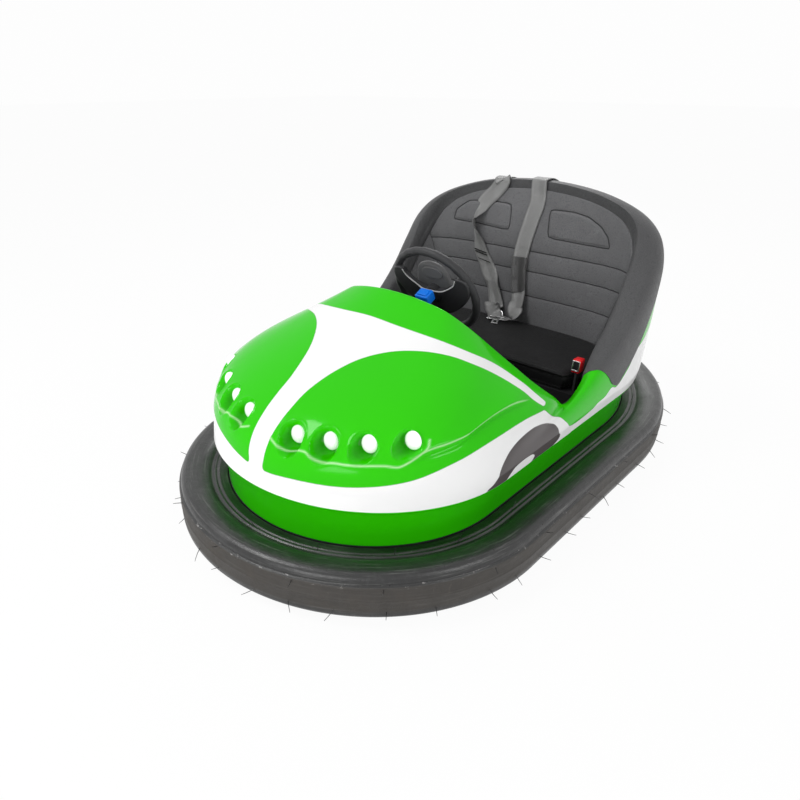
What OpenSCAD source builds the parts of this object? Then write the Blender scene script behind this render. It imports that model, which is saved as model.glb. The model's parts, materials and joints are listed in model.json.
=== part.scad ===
// Fairground bumper car: a moulded body on a chassis ringed by one inflated rubber bumper,
// one steered drive wheel under the bonnet and two trailing wheels behind the bench.
// Front of the car is -Y, up is +Z, the origin is on the floor under the middle of the car.

/* [Overall] */
// Width over the bumper tyre
car_w = 1100; // [1080:5:1140]
// Length over the bumper tyre
car_l = 1920; // [1880:5:1980]
// Height of the seat back
car_h = 800; // [780:5:840]

/* [Bumper tyre] */
// Width of the tyre seen from above
tyre_w = 138; // [130:1:140]
// Height of the tyre's underside over the floor
tyre_low = 24; // [20:1:32]
// Height of the tyre's crown
tyre_crown = 146; // [138:1:150]
// Width of the flat tread on the outer wall
tread_w = 84; // [60:1:90]

/* [Body shell] */
// Thickness of the moulded shell
shell_t = 8; // [6:0.5:9]
// Height of the shell's lower lip at the nose
lip_z = 248; // [244:1:252]
// Inset of the shell's lip from the tyre's outer face at the nose
lip_in = 112; // [108:1:116]
// Height of the bonnet's rear edge
hood_z = 610; // [600:1:620]
// Distance of the bonnet's rear edge behind the centre of the nose arc
hood_back = 75; // [65:1:85]
// Room between the tyre's channel and the side of the cockpit
cockpit_room = 20; // [17:0.5:22]

/* [Lamps] */
// Radius of one lamp lens
lamp_r = 22; // [18:0.5:24]
// Depth of one lamp lens
lamp_deep = 9; // [7:0.5:12]

/* [Chassis] */
// Height of the frame tubes
rail_h = 50; // [40:1:50]
// Width of the frame tubes
rail_w = 40; // [30:1:40]
// Distance of the long rails from the centre line
rail_x = 205; // [200:1:208]
// Top of the floor pan
floor_top = 100; // [98:0.5:104]
// Thickness of the floor pan
floor_t = 4; // [3:0.5:5]
// Thickness of the steel channel inside the tyre
channel_t = 6; // [4:0.5:7]

/* [Drive unit] */
// Distance of the drive wheel in front of the centre of the nose arc
drive_ahead = 70; // [60:1:80]
// Radius of the drive wheel
drive_r = 95; // [90:1:98]
// Width of the drive wheel
drive_w = 50; // [44:1:52]
// Radius of the drive motor
motor_r = 55; // [45:1:58]
// Length of the drive motor
motor_len = 84; // [70:1:90]
// Radius of the axle pins
axle_r = 8; // [6:0.5:10]

/* [Rear wheels] */
// Distance of the rear wheels in front of the centre of the tail arc
rear_ahead = 20; // [16:1:25]
// Distance of each rear wheel from the centre line
rear_x = 275; // [272:1:278]
// Radius of the rear wheels
rear_r = 80; // [74:1:84]
// Width of the rear wheels
rear_w = 38; // [32:1:40]

/* [Steering] */
// Outside radius of the steering wheel
wheel_r = 148; // [135:1:152]
// Radius of the steering wheel's rim tube
wheel_tube = 13; // [10:0.5:15]
// Height of the steering wheel's centre
wheel_z = 569; // [560:1:580]
// Distance of the steering wheel's centre behind the centre of the nose arc
wheel_back = 278; // [270:1:290]
// Lean of the steering column from upright
column_lean = 62.5; // [60:0.5:65]
// Radius of the column tube
column_r = 22; // [18:1:26]
// Radius of the steering shaft
shaft_r = 9; // [7:0.5:11]

/* [Seat] */
// Height of the cushion's top
cushion_top = 352; // [345:1:360]
// Height of the bench box under the cushion
bench_top = 296; // [290:1:298]
// Length of the bench from front to back
bench_len = 346; // [338:1:358]
// Thickness of the seat lining
lining_t = 24; // [18:1:28]
// Depth of the leather roll inside the rim
roll_deep = 75; // [60:1:85]
// Width of a belt strap
strap_w = 46; // [38:1:50]
// Thickness of a belt strap
strap_t = 3; // [2:0.5:4]

/* [Hidden] */

// Gap between pieces that rest on each other
seat_gap = 0.3;
// Running gap of a shaft in its bore
run_gap = 0.4;
// Smallest way between pieces that move past each other
swing_gap = 6;

// Plan of the tyre's outer face: a half circle in front, straight sides, side arcs and a tail arc
half_w = car_w / 2;
half_l = car_l / 2;
nose_y = half_w - half_l;
tail_r = 450;
tail_y = half_l - tail_r;
side_a = 44;
side_r = (half_w - tail_r * cos(side_a)) / (1 - cos(side_a));
side_x = half_w - side_r;
side_end_y = tail_y - (side_r - tail_r) * sin(side_a);

// Places along and across the car, from the centres of the nose and tail arcs
drive_y = drive_ahead - nose_y;
drive_reach = norm([motor_len + drive_w / 2 + 20, motor_r]);
bulkhead_y = -drive_y + drive_reach + 2 * swing_gap + 31.8;
bulkhead_t = 6;
wheel_y = -nose_y - wheel_back;
rear_y = tail_y - rear_ahead;
bench_back = tail_y - 122;
bench_y = bench_back - bench_len;
cockpit_half = half_w - tyre_w - channel_t - cockpit_room;

// Where the path is at station u: 0 nose, 1 and 2 ends of the straight side, 3 end of the side arc,
// 4 tail. Each value is [x, y, outward x, outward y].
function path(u) =
    u <= 1 ? let (a = 90 * u) [half_w * sin(a), nose_y - half_w * cos(a), sin(a), -cos(a)] :
    u <= 2 ? [half_w, nose_y + (side_end_y - nose_y) * (u - 1), 1, 0] :
    u <= 3 ? let (a = side_a * (u - 2))
        [side_x + side_r * cos(a), side_end_y + side_r * sin(a), cos(a), sin(a)] :
    let (a = side_a + (90 - side_a) * (u - 3))
        [tail_r * cos(a), tail_y + tail_r * sin(a), cos(a), sin(a)];

// Shares of nose, side and tail at station u
function share(u) =
    let (nose = u < 1 ? pow(cos(90 * u), 2) : 0, tail = u < 2 ? 0 : pow(sin(45 * (u - 2)), 2))
    [nose, 1 - nose - tail, tail];

// A station past the tail comes back along the other side as a negative one
function station(w) = w > 4 ? w - 8 : w;
function flip_x(p, w) = [station(w) < 0 ? -p[0] : p[0], p[1], p[2]];

// Lines round the body, as insets and heights at nose, side and tail
channel_in = tyre_w + seat_gap;
skirt_low_z = 125;
skirt_in = channel_in + 1.7;
lip_side_in = lip_in - 7;
lip_tail_in = lip_in + 3;
LIP = [[lip_in, lip_side_in, lip_tail_in], [lip_z, lip_z - 4, lip_z + 2]];
BAND = [[lip_in + 8, lip_side_in - 4, lip_tail_in + 3], [lip_z + 37, lip_z + 27, lip_z + 42]];
function ring_point(line, u) =
    let (p = path(u), s = share(u), inset = line[0] * s, z = line[1] * s)
    [p[0] - inset * p[2], p[1] - inset * p[3], z];
function inset_point(w, inset, z) =
    let (p = path(abs(station(w)))) flip_x([p[0] - inset * p[2], p[1] - inset * p[3], z], w);

// Rim of the cockpit. Columns: station, half width, y, height, and the reach of the curve that
// joins it to the band: rise over the band, reach outward from the rim, lift over the rim.
top_z = car_h - 4.4;
hood_end = nose_y + hood_back;
sill_front = nose_y + 260;
sill_back = tail_y - 315;
function sill_y(t) = sill_front + t * (sill_back - sill_front);
RIM = [
    [0, 0, hood_end, hood_z, 170, 250, -150],
    [0.35, 150, hood_end + 17, hood_z - 20, 180, 245, -125],
    [0.52, 221, hood_end + 45, hood_z - 60, 195, 195, -90],
    [0.7, 286, hood_end + 85, hood_z - 118, 175, 115, -55],
    [1, cockpit_half + 8, sill_front, hood_z - 238, 90, 60, 20],
    [1.25, cockpit_half + 18, sill_y(0.26), 312, 60, 26, 26],
    [1.5, cockpit_half + 22, sill_y(0.49), 348, 62, 20, 24],
    [1.75, cockpit_half + 8, sill_y(0.75), 416, 90, 52, 38],
    [2, cockpit_half + 4, sill_back, 490, 150, 76, 50],
    [2.25, cockpit_half, tail_y - 252, 575, 200, 95, 50],
    [2.5, cockpit_half - 8, tail_y - 202, 650, 230, 110, 50],
    [2.8, cockpit_half - 36, tail_y - 158, top_z - 90, 250, 106, 45],
    [3.15, cockpit_half - 98, tail_y - 128, top_z - 48, 260, 98, 40],
    [3.55, cockpit_half - 216, tail_y - 116, top_z - 14, 265, 95, 40],
    [4, 0, tail_y - 114, top_z, 265, 100, 42]
];
rim_last = len(RIM) - 1;
function mirrored_row(r, centre) = [for (k = [0:6]) k == 0 ? 2 * centre - r[0] : k == 1 ? -r[1] : r[k]];
function rim_row(k) =
    k < 0 ? mirrored_row(RIM[1], 0) : k > rim_last ? mirrored_row(RIM[rim_last - 1], 4) : RIM[k];
function rim_index(u, k = 0) = k >= rim_last - 1 || RIM[k + 1][0] >= u ? k : rim_index(u, k + 1);
// Smooth curve through the rim's rows
function rim_at(u) =
    let (
        k = rim_index(u), p0 = rim_row(k - 1), p1 = rim_row(k), p2 = rim_row(k + 1),
        p3 = rim_row(k + 2), h = p2[0] - p1[0], t = (u - p1[0]) / h,
        m1 = (p2 - p0) * (h / (p2[0] - p0[0])), m2 = (p3 - p1) * (h / (p3[0] - p1[0]))
    )
    (2 * t * t * t - 3 * t * t + 1) * p1 + (t * t * t - 2 * t * t + t) * m1
    + (3 * t * t - 2 * t * t * t) * p2 + (t * t * t - t * t) * m2;

// Outer skin of the body: v is -1 at the lip, 0 at the band's middle and 1 at the cockpit's rim
function skin_half(u, v) =
    v <= 0 ? ring_point(BAND, u) * (1 + v) - ring_point(LIP, u) * v :
    let (
        r = rim_at(u), p = path(u), a = ring_point(BAND, u), d = [r[1], r[2], r[3]],
        b = a + [0, 0, r[4]], c = d + [p[2] * r[5], p[3] * r[5], r[6]], s = 1 - v
    )
    s * s * s * a + 3 * s * s * v * b + 3 * s * v * v * c + v * v * v * d;
function skin(w, v) = flip_x(skin_half(abs(station(w)), v), w);
function unit(p) = p / norm(p);
function skin_out(w, v) =
    let (
        e = 0.02, va = max(v - e, v > 0 ? 0 : -1), vb = min(v + e, v >= 0 ? 1 : 0),
        along = skin(w + e, v) - skin(w - e, v), up = skin(w, vb) - skin(w, va)
    )
    unit(cross(along, up));
function skin_at(w, v, depth) = skin(w, v) - depth * skin_out(w, v);

// Where the leather of the rim roll begins on the skin
LEATHER = [
    [1.6, 1], [1.95, 0.06], [2.02, 0.16], [2.085, 0.245], [2.195, 0.335], [2.355, 0.41], [2.51, 0.46],
    [2.8, 0.54], [3.2, 0.6], [4, 0.63]
];
function leather_v(w) = lookup(abs(station(w)), LEATHER);
split_w = 1.5;
split_gap = 0.003;
// Seam between the paint and the leather, wider where the leather's edge runs steeply down
function seam(w) = lookup(abs(station(w)), [[1.6, 0], [1.65, 0.034], [1.95, 0.026], [2.15, 0.006]]);

function steps(a, b, n) = [for (i = [0:n]) a + (b - a) * i / n];

// Solid swept through sections that all have the same even number of points
module sweep(sections, loop = false) {
    n = len(sections[0]);
    m = len(sections);
    spans = loop ? m - 1 : m - 2;
    sides = [for (i = [0:spans], j = [0:n - 1])
        let (a = i * n + j, b = i * n + (j + 1) % n, k = ((i + 1) % m) * n)
        each [[a, b, k + (j + 1) % n], [a, k + (j + 1) % n, k + j]]];
    last = (m - 1) * n;
    caps = loop ? [] : [for (j = [0:n / 2 - 2])
        each [
            [j + 1, j, n - 1 - j], [j + 1, n - 1 - j, n - 2 - j],
            [last + j, last + j + 1, last + n - 1 - j], [last + j + 1, last + n - 2 - j, last + n - 1 - j]
        ]];
    polyhedron([for (s = sections) each s], concat(sides, caps), convexity = 6);
}

// Section of the shell at w between two heights of the skin, thicker by extra where lamps sit
function hump(x, a, b) = x <= a || x >= b ? 0 : pow(sin(180 * (x - a) / (b - a)), 0.5);
function shell_inside(w, v, extra) =
    let (p = skin_at(w, v, shell_t + extra * hump(abs(w), 0.02, 0.95) * hump(v, 0, 0.6)))
    v > -1 ? p : [p[0], p[1], skin(w, v)[2]];
function shell_section(w, v1, n, extra = 0) = concat(
    [for (v = steps(-1, v1, n)) skin(w, v)],
    [for (v = steps(v1, -1, n)) shell_inside(w, v, extra)]);

// Stations round the whole plan, close together on the arcs and none along the straight sides
half_ring = concat(steps(0, 1, 14), steps(2, 3, 7), [for (i = [1:7]) 3 + i / 7]);
ring = concat(half_ring, [for (i = [len(half_ring) - 2:-1:1]) 8 - half_ring[i]]);

// Profile x is the distance out from the tyre's outer face, y is the height
module along_path(profile) {
    sweep([for (w = ring) [for (p = profile) inset_point(w, -p[0], p[1])]], loop = true);
}

function arc(cx, cy, r, a0, a1, n) = [for (a = steps(a0, a1, n)) [cx + r * cos(a), cy + r * sin(a)]];

// Inflated ring tyre with a flat tread, a round shoulder and beads against the channel
tread_low = tyre_low + 12;
tread_top = tread_low + tread_w;
groove = 4;
shoulder_r = tyre_crown - tread_top - groove;
crown_in = 42;
bead_top = skirt_low_z + 2;
module bumper_tyre() {
    color("dimgray") along_path(concat(
        [[-14, tyre_low], [0, tread_low], [0, tread_top], [-groove, tread_top], [-groove, tread_top + groove]],
        arc(-groove - shoulder_r, tyre_crown - shoulder_r, shoulder_r, 20, 90, 3),
        arc(-crown_in, tyre_crown - 60, 60, 90, 132, 4),
        [[-88, bead_top], [-92, bead_top - 3], [-100, bead_top - 3], [-103, bead_top], [-112, bead_top],
            [-115, bead_top - 3], [-tyre_w, bead_top - 3], [-tyre_w, 48], [-110, 30], [-70, tyre_low]]));
}

channel_low = 40;
channel_flange = 18;
channel_top = skirt_low_z - seat_gap;
module bumper_channel() {
    x = -channel_in;
    color("silver") along_path([
        [x, channel_low], [x, channel_top], [x - channel_flange, channel_top],
        [x - channel_flange, channel_top - channel_t], [x - channel_t, channel_top - channel_t],
        [x - channel_t, channel_low + channel_t], [x - channel_flange - 10, channel_low + channel_t],
        [x - channel_flange - 10, channel_low]]);
}

inner_in = channel_in + channel_t + seat_gap;
inner_r = half_w - inner_in;
rail_low = channel_low + channel_t + seat_gap;
rail_top = rail_low + rail_h - 0.6;
rail_out = rail_x + rail_w / 2;
rail_front = nose_y - sqrt(inner_r * inner_r - rail_out * rail_out) + 1;
rail_back = tail_y + sqrt(pow(tail_r - inner_in, 2) - rail_out * rail_out) - 1;
cross_y = [nose_y - 280, bulkhead_y + bulkhead_t, bench_y - 22, rear_y - 160, tail_y + 100];
function half_width_at(y) =
    y < nose_y ? sqrt(inner_r * inner_r - pow(max(nose_y - y, 0) + rail_w / 2, 2)) :
    y < side_end_y - rail_w ? inner_r :
    side_x + sqrt(pow(side_r - inner_in, 2) - pow(y + rail_w / 2 - side_end_y, 2));
module frame_bar(x0, x1, y0, y1) {
    translate([x0, y0, rail_low]) cube([x1 - x0, y1 - y0, rail_top - rail_low]);
}
module chassis_rails() {
    color("gray") for (x = [-rail_x, rail_x])
        frame_bar(x - rail_w / 2, x + rail_w / 2, rail_front, rail_back);
}
// The cross bars are cut off at the rails
module chassis_crosses() {
    inner = rail_x - rail_w / 2 - seat_gap;
    outer = rail_x + rail_w / 2 + seat_gap;
    color("gray") for (y = cross_y) {
        half = half_width_at(y) - 1;
        front = y - rail_w / 2;
        frame_bar(-inner, inner, front, front + rail_w);
        for (side = [-1, 1])
            frame_bar(side > 0 ? outer : -half, side > 0 ? half : -outer, front, front + rail_w);
    }
}

// Round the drive unit and the rear wheels the floor pan is open
well_x = rear_w / 2 + 2 * swing_gap + 3;
well_y = rear_r + swing_gap + 2;
module floor_pan() {
    color("gray") translate([0, 0, floor_top - floor_t]) linear_extrude(floor_t) difference() {
        polygon([for (w = ring) let (p = inset_point(w, inner_in + 0.5, 0)) [p[0], p[1]]]);
        translate([0, -drive_y]) circle(drive_reach + 2 * swing_gap, $fn = 72);
        for (x = [-rear_x, rear_x])
            translate([x - well_x, rear_y - well_y]) square([2 * well_x, 2 * well_y]);
    }
}

flange_out = 5;
lip_gap = 0.5;
function skirt_section(w) =
    let (
        s = share(abs(station(w))), lip_inset = LIP[0] * s, lip_h = LIP[1] * s - lip_gap,
        top_in = lip_inset + 13
    )
    [
        inset_point(w, skirt_in, skirt_low_z), inset_point(w, top_in, lip_h - 12),
        inset_point(w, lip_inset + 1, lip_h - flange_out), inset_point(w, lip_inset + 1, lip_h),
        inset_point(w, top_in + shell_t, lip_h), inset_point(w, skirt_in + shell_t, skirt_low_z)
    ];
module skirt_front() {
    end = split_w - split_gap;
    before = [for (w = ring) if (w > 6.9) w - 8];
    after = [for (w = ring) if (w < 1.1) w];
    color("limegreen") sweep([for (w = concat(-end, before, after, end)) skirt_section(w)]);
}
module skirt_rear() {
    start = split_w + split_gap;
    between = [for (w = ring) if (w > 1.1 && w < 6.9) w];
    color("limegreen") sweep([for (w = concat(start, between, 8 - start)) skirt_section(w)]);
}

// Lamps: angle off the car's centre line round the nose arc, inset from the tyre's outer face, and
// height over the shell's lip, each facing forward
LAMP = [[13.73, 183.5, 133], [27.19, 177.9, 137], [40.79, 164.3, 145], [54.95, 153, 156]];
function lamp_place(p, side) =
    [side * (half_w - p[1]) * sin(p[0]), nose_y - (half_w - p[1]) * cos(p[0]), lip_z + p[2]];
lamp_tilt = 8;
module at_lamps(side) {
    for (p = LAMP) translate(lamp_place(p, side)) rotate([90 - lamp_tilt, 0, 0]) children();
}
scoop_r = lamp_r + 5;
module scoops() {
    for (side = [-1, 1], p = LAMP) hull() {
        translate(lamp_place(p, side) + [0, -6, 0]) sphere(scoop_r, $fn = 14);
        translate(lamp_place(p, side) + [side * 14, -62, -6]) sphere(scoop_r + 6, $fn = 14);
    }
}
lamp_wall = 40;
skin_spans = 14;
hood_spans = 46;
function hood_station(i) = (split_w - split_gap) * (2 * i / hood_spans - 1);
module hood() {
    color("limegreen") difference() {
        sweep([for (i = [0:hood_spans]) shell_section(hood_station(i), 1, skin_spans, lamp_wall)]);
        scoops();
        for (side = [-1, 1]) at_lamps(side) translate([0, 0, -lamp_deep])
            cylinder(h = 60, r = lamp_r + run_gap, $fn = 28);
    }
}

// Stations round the back of the body, shared by the shell and the leather roll on its edge
wall_spans = 54;
wall_pitch = (8 - 2 * split_w) / wall_spans;
function wall_station(i) = split_w + i * wall_pitch + (i == 0 ? split_gap : i == wall_spans ? -split_gap : 0);
module rear_shell() {
    color("limegreen") sweep([for (i = [0:wall_spans]) let (w = wall_station(i))
        shell_section(w, min(leather_v(w) - seam(w), 1), skin_spans)]);
}

module lens() {
    edge = 3;
    rotate_extrude($fn = 40) polygon(concat(
        [[0, -lamp_deep + seat_gap], [lamp_r, -lamp_deep + seat_gap]],
        arc(lamp_r - edge, 0, edge, 0, 60, 2), [[lamp_r * 0.5, 4.6], [0, 6]]));
}
module lamps_left() {
    color("white") at_lamps(1) lens();
}
module lamps_right() {
    color("white") at_lamps(-1) lens();
}

// Strip under the bonnet's rear edge, behind the column
apron_drop = 96;
apron_t = 8;
apron_first = 10;
module dash_apron() {
    color("dimgray") sweep([for (i = [apron_first:hood_spans - apron_first]) let (
            w = hood_station(i), a = skin_at(w, 1, shell_t + 0.8),
            front = skin_at(w, 1 - 2 / skin_spans, shell_t + 0.8) - a,
            b = a + front * (apron_t / norm(front)), drop = [0, 0, apron_drop])
        [a, a - drop, b - drop, b]]);
}

panel_x = cockpit_half + 1;
module bulkhead() {
    color("dimgray") translate([0, bulkhead_y + bulkhead_t, floor_top + seat_gap]) rotate([90, 0, 0])
        linear_extrude(bulkhead_t) polygon([
            [-panel_x, 0], [panel_x, 0], [panel_x, 220], [330, 300], [150, 320], [-150, 320],
            [-330, 300], [-panel_x, 220]]);
}

panel_t = 6;
panel_top = 294;
module side_panel(side) {
    front = bulkhead_y + bulkhead_t + seat_gap;
    x = side > 0 ? panel_x : -panel_x - panel_t;
    color("dimgray") translate([x, front, floor_top + seat_gap])
        cube([panel_t, bench_y - seat_gap - front, panel_top - floor_top]);
}
module side_panel_left() {
    side_panel(1);
}
module side_panel_right() {
    side_panel(-1);
}

bench_x = cockpit_half - 6;
board_t = 6;
module bench_box() {
    color("dimgray") difference() {
        translate([-bench_x, bench_y, floor_top + seat_gap])
            cube([2 * bench_x, bench_len, bench_top - floor_top - seat_gap]);
        translate([-bench_x + board_t, bench_y + board_t, floor_top - 1])
            cube([2 * (bench_x - board_t), bench_len - 2 * board_t, bench_top - floor_top - board_t + 1]);
    }
}

// The lining stands on the bench and leans back to the rim
foot_in = 0.972;
foot_back = 24;
lining_first = 4;
lining_gap = 1.5;
function rim_point(w) = let (r = rim_at(abs(station(w)))) flip_x([r[1], r[2], r[3]], w);
function rim_normal(w) = let (p = path(abs(station(w)))) flip_x([p[2], p[3], 0], w);
// The roll is deepest at the sides and shallower across the back
function roll_drop(w) = roll_deep * lookup(abs(station(w)), [[2.4, 1], [3.1, 0.62], [4, 0.52]]);
function lining_top(w) = rim_point(w) - [0, 0, roll_drop(w) + lining_gap];
function lining_foot(w) =
    let (p = rim_point(w)) [p[0] * foot_in, p[1] - foot_back, bench_top + seat_gap];
module seat_lining() {
    color("dimgray") sweep([for (i = [lining_first:wall_spans - lining_first]) let (
            w = wall_station(i), a = lining_foot(w), b = lining_top(w),
            n = rim_normal(w) * lining_t, m = (a + b) / 2 - n * 0.15)
        [a + n, m + n, b + n, b, m, a]]);
}

module seat_cushion() {
    color("black") translate([0, 0, bench_top + seat_gap])
        linear_extrude(cushion_top - bench_top - seat_gap) polygon(concat(
            [for (w = steps(2, 6, 32)) let (p = lining_foot(w)) [p[0] * 0.985, p[1] - 6]],
            [[-bench_x + 20, bench_y + 14], [-bench_x + 30, bench_y + 4],
                [bench_x - 30, bench_y + 4], [bench_x - 20, bench_y + 14]]));
}

// Leather roll over the rim, on the outside down to where the paint begins
roll_first = 2;
module rim_roll() {
    color("dimgray") sweep([for (i = [roll_first:wall_spans - roll_first]) let (
            w = wall_station(i), r = rim_point(w), n = rim_normal(w), v = leather_v(w),
            low = r - [0, 0, roll_drop(w)], inside = skin_at(w, v, shell_t + 4))
        concat([for (t = steps(v, 1, 7)) skin(w, t)], [low, low + n * (lining_t + 4), inside,
            skin_at(w, v, 3)])
        ]);
}

bridge_z = 262;
bridge_t = 8;
bridge_x = rail_x;
bridge_half = 90;
stem_r = 14;
module drive_bridge() {
    color("gray") difference() {
        union() {
            translate([-bridge_x, -drive_y - bridge_half, bridge_z])
                cube([2 * bridge_x, 2 * bridge_half, bridge_t]);
            for (x = [-bridge_x, bridge_x - bridge_t])
                translate([x, -drive_y - bridge_half, floor_top + seat_gap])
                    cube([bridge_t, 2 * bridge_half, bridge_z - floor_top]);
        }
        translate([0, -drive_y, bridge_z - 1]) cylinder(h = bridge_t + 2, r = stem_r + swing_gap, $fn = 48);
    }
}

turntable_h = 26;
module turntable() {
    color("silver") translate([0, -drive_y, bridge_z + bridge_t + seat_gap]) difference() {
        cylinder(h = turntable_h, r = 60, $fn = 64);
        translate([0, 0, -1]) cylinder(h = turntable_h + 2, r = stem_r + run_gap, $fn = 48);
    }
}

// The column's axis meets the fork's upright axis in one universal joint
column_run = (drive_y - wheel_y) / sin(column_lean);
joint_z = wheel_z - column_run * cos(column_lean);
joint_r = 18;
fork_top = bridge_z - swing_gap;
fork_plate = 12;
cheek_t = 6;
cheek_in = drive_w / 2 + swing_gap;
module drive_fork() {
    color("gray") translate([0, -drive_y, 0]) difference() {
        union() {
            translate([0, 0, fork_top - fork_plate]) cylinder(h = fork_plate, r = 75, $fn = 64);
            translate([0, 0, fork_top - 1]) cylinder(h = joint_z - fork_top, r = stem_r, $fn = 48);
            translate([0, 0, joint_z]) sphere(joint_r, $fn = 48);
            for (x = [-cheek_in - cheek_t, cheek_in])
                translate([x, -30, drive_r - 30]) cube([cheek_t, 60, fork_top - fork_plate - drive_r + 31]);
            translate([-cheek_in - cheek_t - 4, 0, drive_r]) rotate([0, 90, 0])
                cylinder(h = 2 * (cheek_in + cheek_t) + 4, r = axle_r, $fn = 32);
        }
    }
}
module drive_motor() {
    color("darkslategray") translate([cheek_in + cheek_t + seat_gap, -drive_y, drive_r]) rotate([0, 90, 0])
        cylinder(h = motor_len, r = motor_r, $fn = 48);
}

module wheel_hub(r, w) {
    rotate([0, 90, 0]) difference() {
        union() {
            translate([0, 0, -w / 2]) cylinder(h = w, r = r * 0.34, $fn = 48);
            translate([0, 0, -w / 8]) cylinder(h = w / 4, r = r * 0.66 - seat_gap, $fn = 64);
        }
        translate([0, 0, -w]) cylinder(h = 2 * w, r = axle_r + run_gap, $fn = 32);
    }
}
module wheel_tyre(r, w) {
    edge = w * 0.16;
    rotate([0, 90, 0]) rotate_extrude($fn = 72) polygon([
        [r * 0.66, -w / 2 + edge], [r * 0.72, -w / 2], [r - edge, -w / 2], [r, -w / 2 + edge],
        [r, w / 2 - edge], [r - edge, w / 2], [r * 0.72, w / 2], [r * 0.66, w / 2 - edge]]);
}
module drive_hub() {
    color("silver") translate([0, -drive_y, drive_r]) wheel_hub(drive_r, drive_w);
}
module drive_tyre() {
    color("dimgray") translate([0, -drive_y, drive_r]) wheel_tyre(drive_r, drive_w);
}

// Everything on the column is drawn along its axis, with the wheel's centre as the origin
module on_column() {
    translate([0, -wheel_y, wheel_z]) rotate([-column_lean, 0, 0]) children();
}
hub_r = 26;
tube_top = -52;
tube_low = -column_run + joint_r + 70;
module column_tube() {
    color("black") on_column() translate([0, 0, tube_low]) difference() {
        cylinder(h = tube_top - tube_low, r = column_r, $fn = 48);
        translate([0, 0, -1]) cylinder(h = tube_top - tube_low + 2, r = shaft_r + run_gap, $fn = 32);
    }
}
module steering_shaft() {
    low = -column_run + joint_r + 0.6;
    color("silver") on_column() translate([0, 0, low]) cylinder(h = -22 - low, r = shaft_r, $fn = 32);
}
pad_z = 4;
module steering_wheel() {
    ring_r = wheel_r - wheel_tube;
    color("black") on_column() {
        rotate_extrude($fn = 72) translate([ring_r, 0]) circle(wheel_tube, $fn = 24);
        translate([0, 0, -21.7]) cylinder(h = 24, r = hub_r, $fn = 48);
        for (a = [22, 158, 270]) rotate(a) translate([hub_r - 4, -13, -15])
            cube([ring_r - hub_r, 26, 12]);
    }
}
module wheel_pad() {
    color("dimgray") on_column() translate([0, 0, 2.6]) linear_extrude(16) polygon([
        [-62, 30], [62, 30], [66, 18], [30, -28], [-30, -28], [-66, 18]]);
}

switch_w = 34;
module switch_box() {
    color("dodgerblue") on_column() translate([-switch_w / 2, -column_r - 0.3 - 30, -92])
        cube([switch_w, 30, 36]);
}

post_w = 44;
post_at = 230;
saddle_half = column_r + 8;
saddle_deep = 50;
saddle_len = 40;
module column_post() {
    y = -wheel_y - post_at * sin(column_lean) + saddle_deep * cos(column_lean);
    z = wheel_z - post_at * cos(column_lean) - saddle_deep * sin(column_lean);
    foot_y = -drive_y + bridge_half - 26;
    foot_z = bridge_z + bridge_t + seat_gap;
    color("gray") difference() {
        union() {
            translate([-post_w / 2, 0, 0]) rotate([90, 0, 90]) linear_extrude(post_w) polygon([
                [foot_y, foot_z], [foot_y + 24, foot_z], [y + 12, z], [y - 8, z + 14]]);
            on_column() translate([-saddle_half, 2, -post_at - saddle_len / 2])
                cube([2 * saddle_half, saddle_deep, saddle_len]);
        }
        on_column() translate([0, 0, -2 * post_at])
            cylinder(h = 3 * post_at, r = column_r + seat_gap, $fn = 48);
    }
}

bracket_len = 110;
bracket_t = 6;
module rear_bracket(side) {
    half = rear_w / 2 + swing_gap;
    top = 2 * rear_r + swing_gap + 2;
    color("gray") translate([side * rear_x, rear_y, 0]) {
        difference() {
            union() {
                for (x = [-half - bracket_t, half]) translate([x, -bracket_len / 2, rear_r - 20])
                    cube([bracket_t, bracket_len, top - rear_r + 20 + bracket_t]);
                translate([-half - bracket_t, -bracket_len / 2, top])
                    cube([2 * (half + bracket_t), bracket_len, bracket_t]);
                for (x = [-half - bracket_t - 18, half + bracket_t - 1])
                    translate([x, -bracket_len / 2, floor_top + seat_gap]) cube([19, bracket_len, bracket_t]);
            }
        }
        translate([-half - bracket_t - 4, 0, rear_r]) rotate([0, 90, 0])
            cylinder(h = 2 * (half + bracket_t) + 8, r = axle_r, $fn = 32);
    }
}
module rear_bracket_left() {
    rear_bracket(1);
}
module rear_bracket_right() {
    rear_bracket(-1);
}
module rear_hub_left() {
    color("silver") translate([rear_x, rear_y, rear_r]) wheel_hub(rear_r, rear_w);
}
module rear_hub_right() {
    color("silver") translate([-rear_x, rear_y, rear_r]) wheel_hub(rear_r, rear_w);
}
module rear_tyre_left() {
    color("dimgray") translate([rear_x, rear_y, rear_r]) wheel_tyre(rear_r, rear_w);
}
module rear_tyre_right() {
    color("dimgray") translate([-rear_x, rear_y, rear_r]) wheel_tyre(rear_r, rear_w);
}

battery = [175, 300, 180];
module battery_block(side) {
    x = side * (battery[0] / 2 + 15) - battery[0] / 2;
    color("darkslategray") translate([x, bench_y + 28, floor_top + seat_gap]) cube(battery);
}
module battery_left() {
    battery_block(1);
}
module battery_right() {
    battery_block(-1);
}

pedal_y = bulkhead_y + 61;
module foot_pedal() {
    color("silver") translate([95, pedal_y, floor_top + seat_gap]) rotate([90, 0, 90])
        linear_extrude(80) polygon([[-40, 0], [50, 0], [50, 6], [-30, 60], [-38, 56]]);
}

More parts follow.
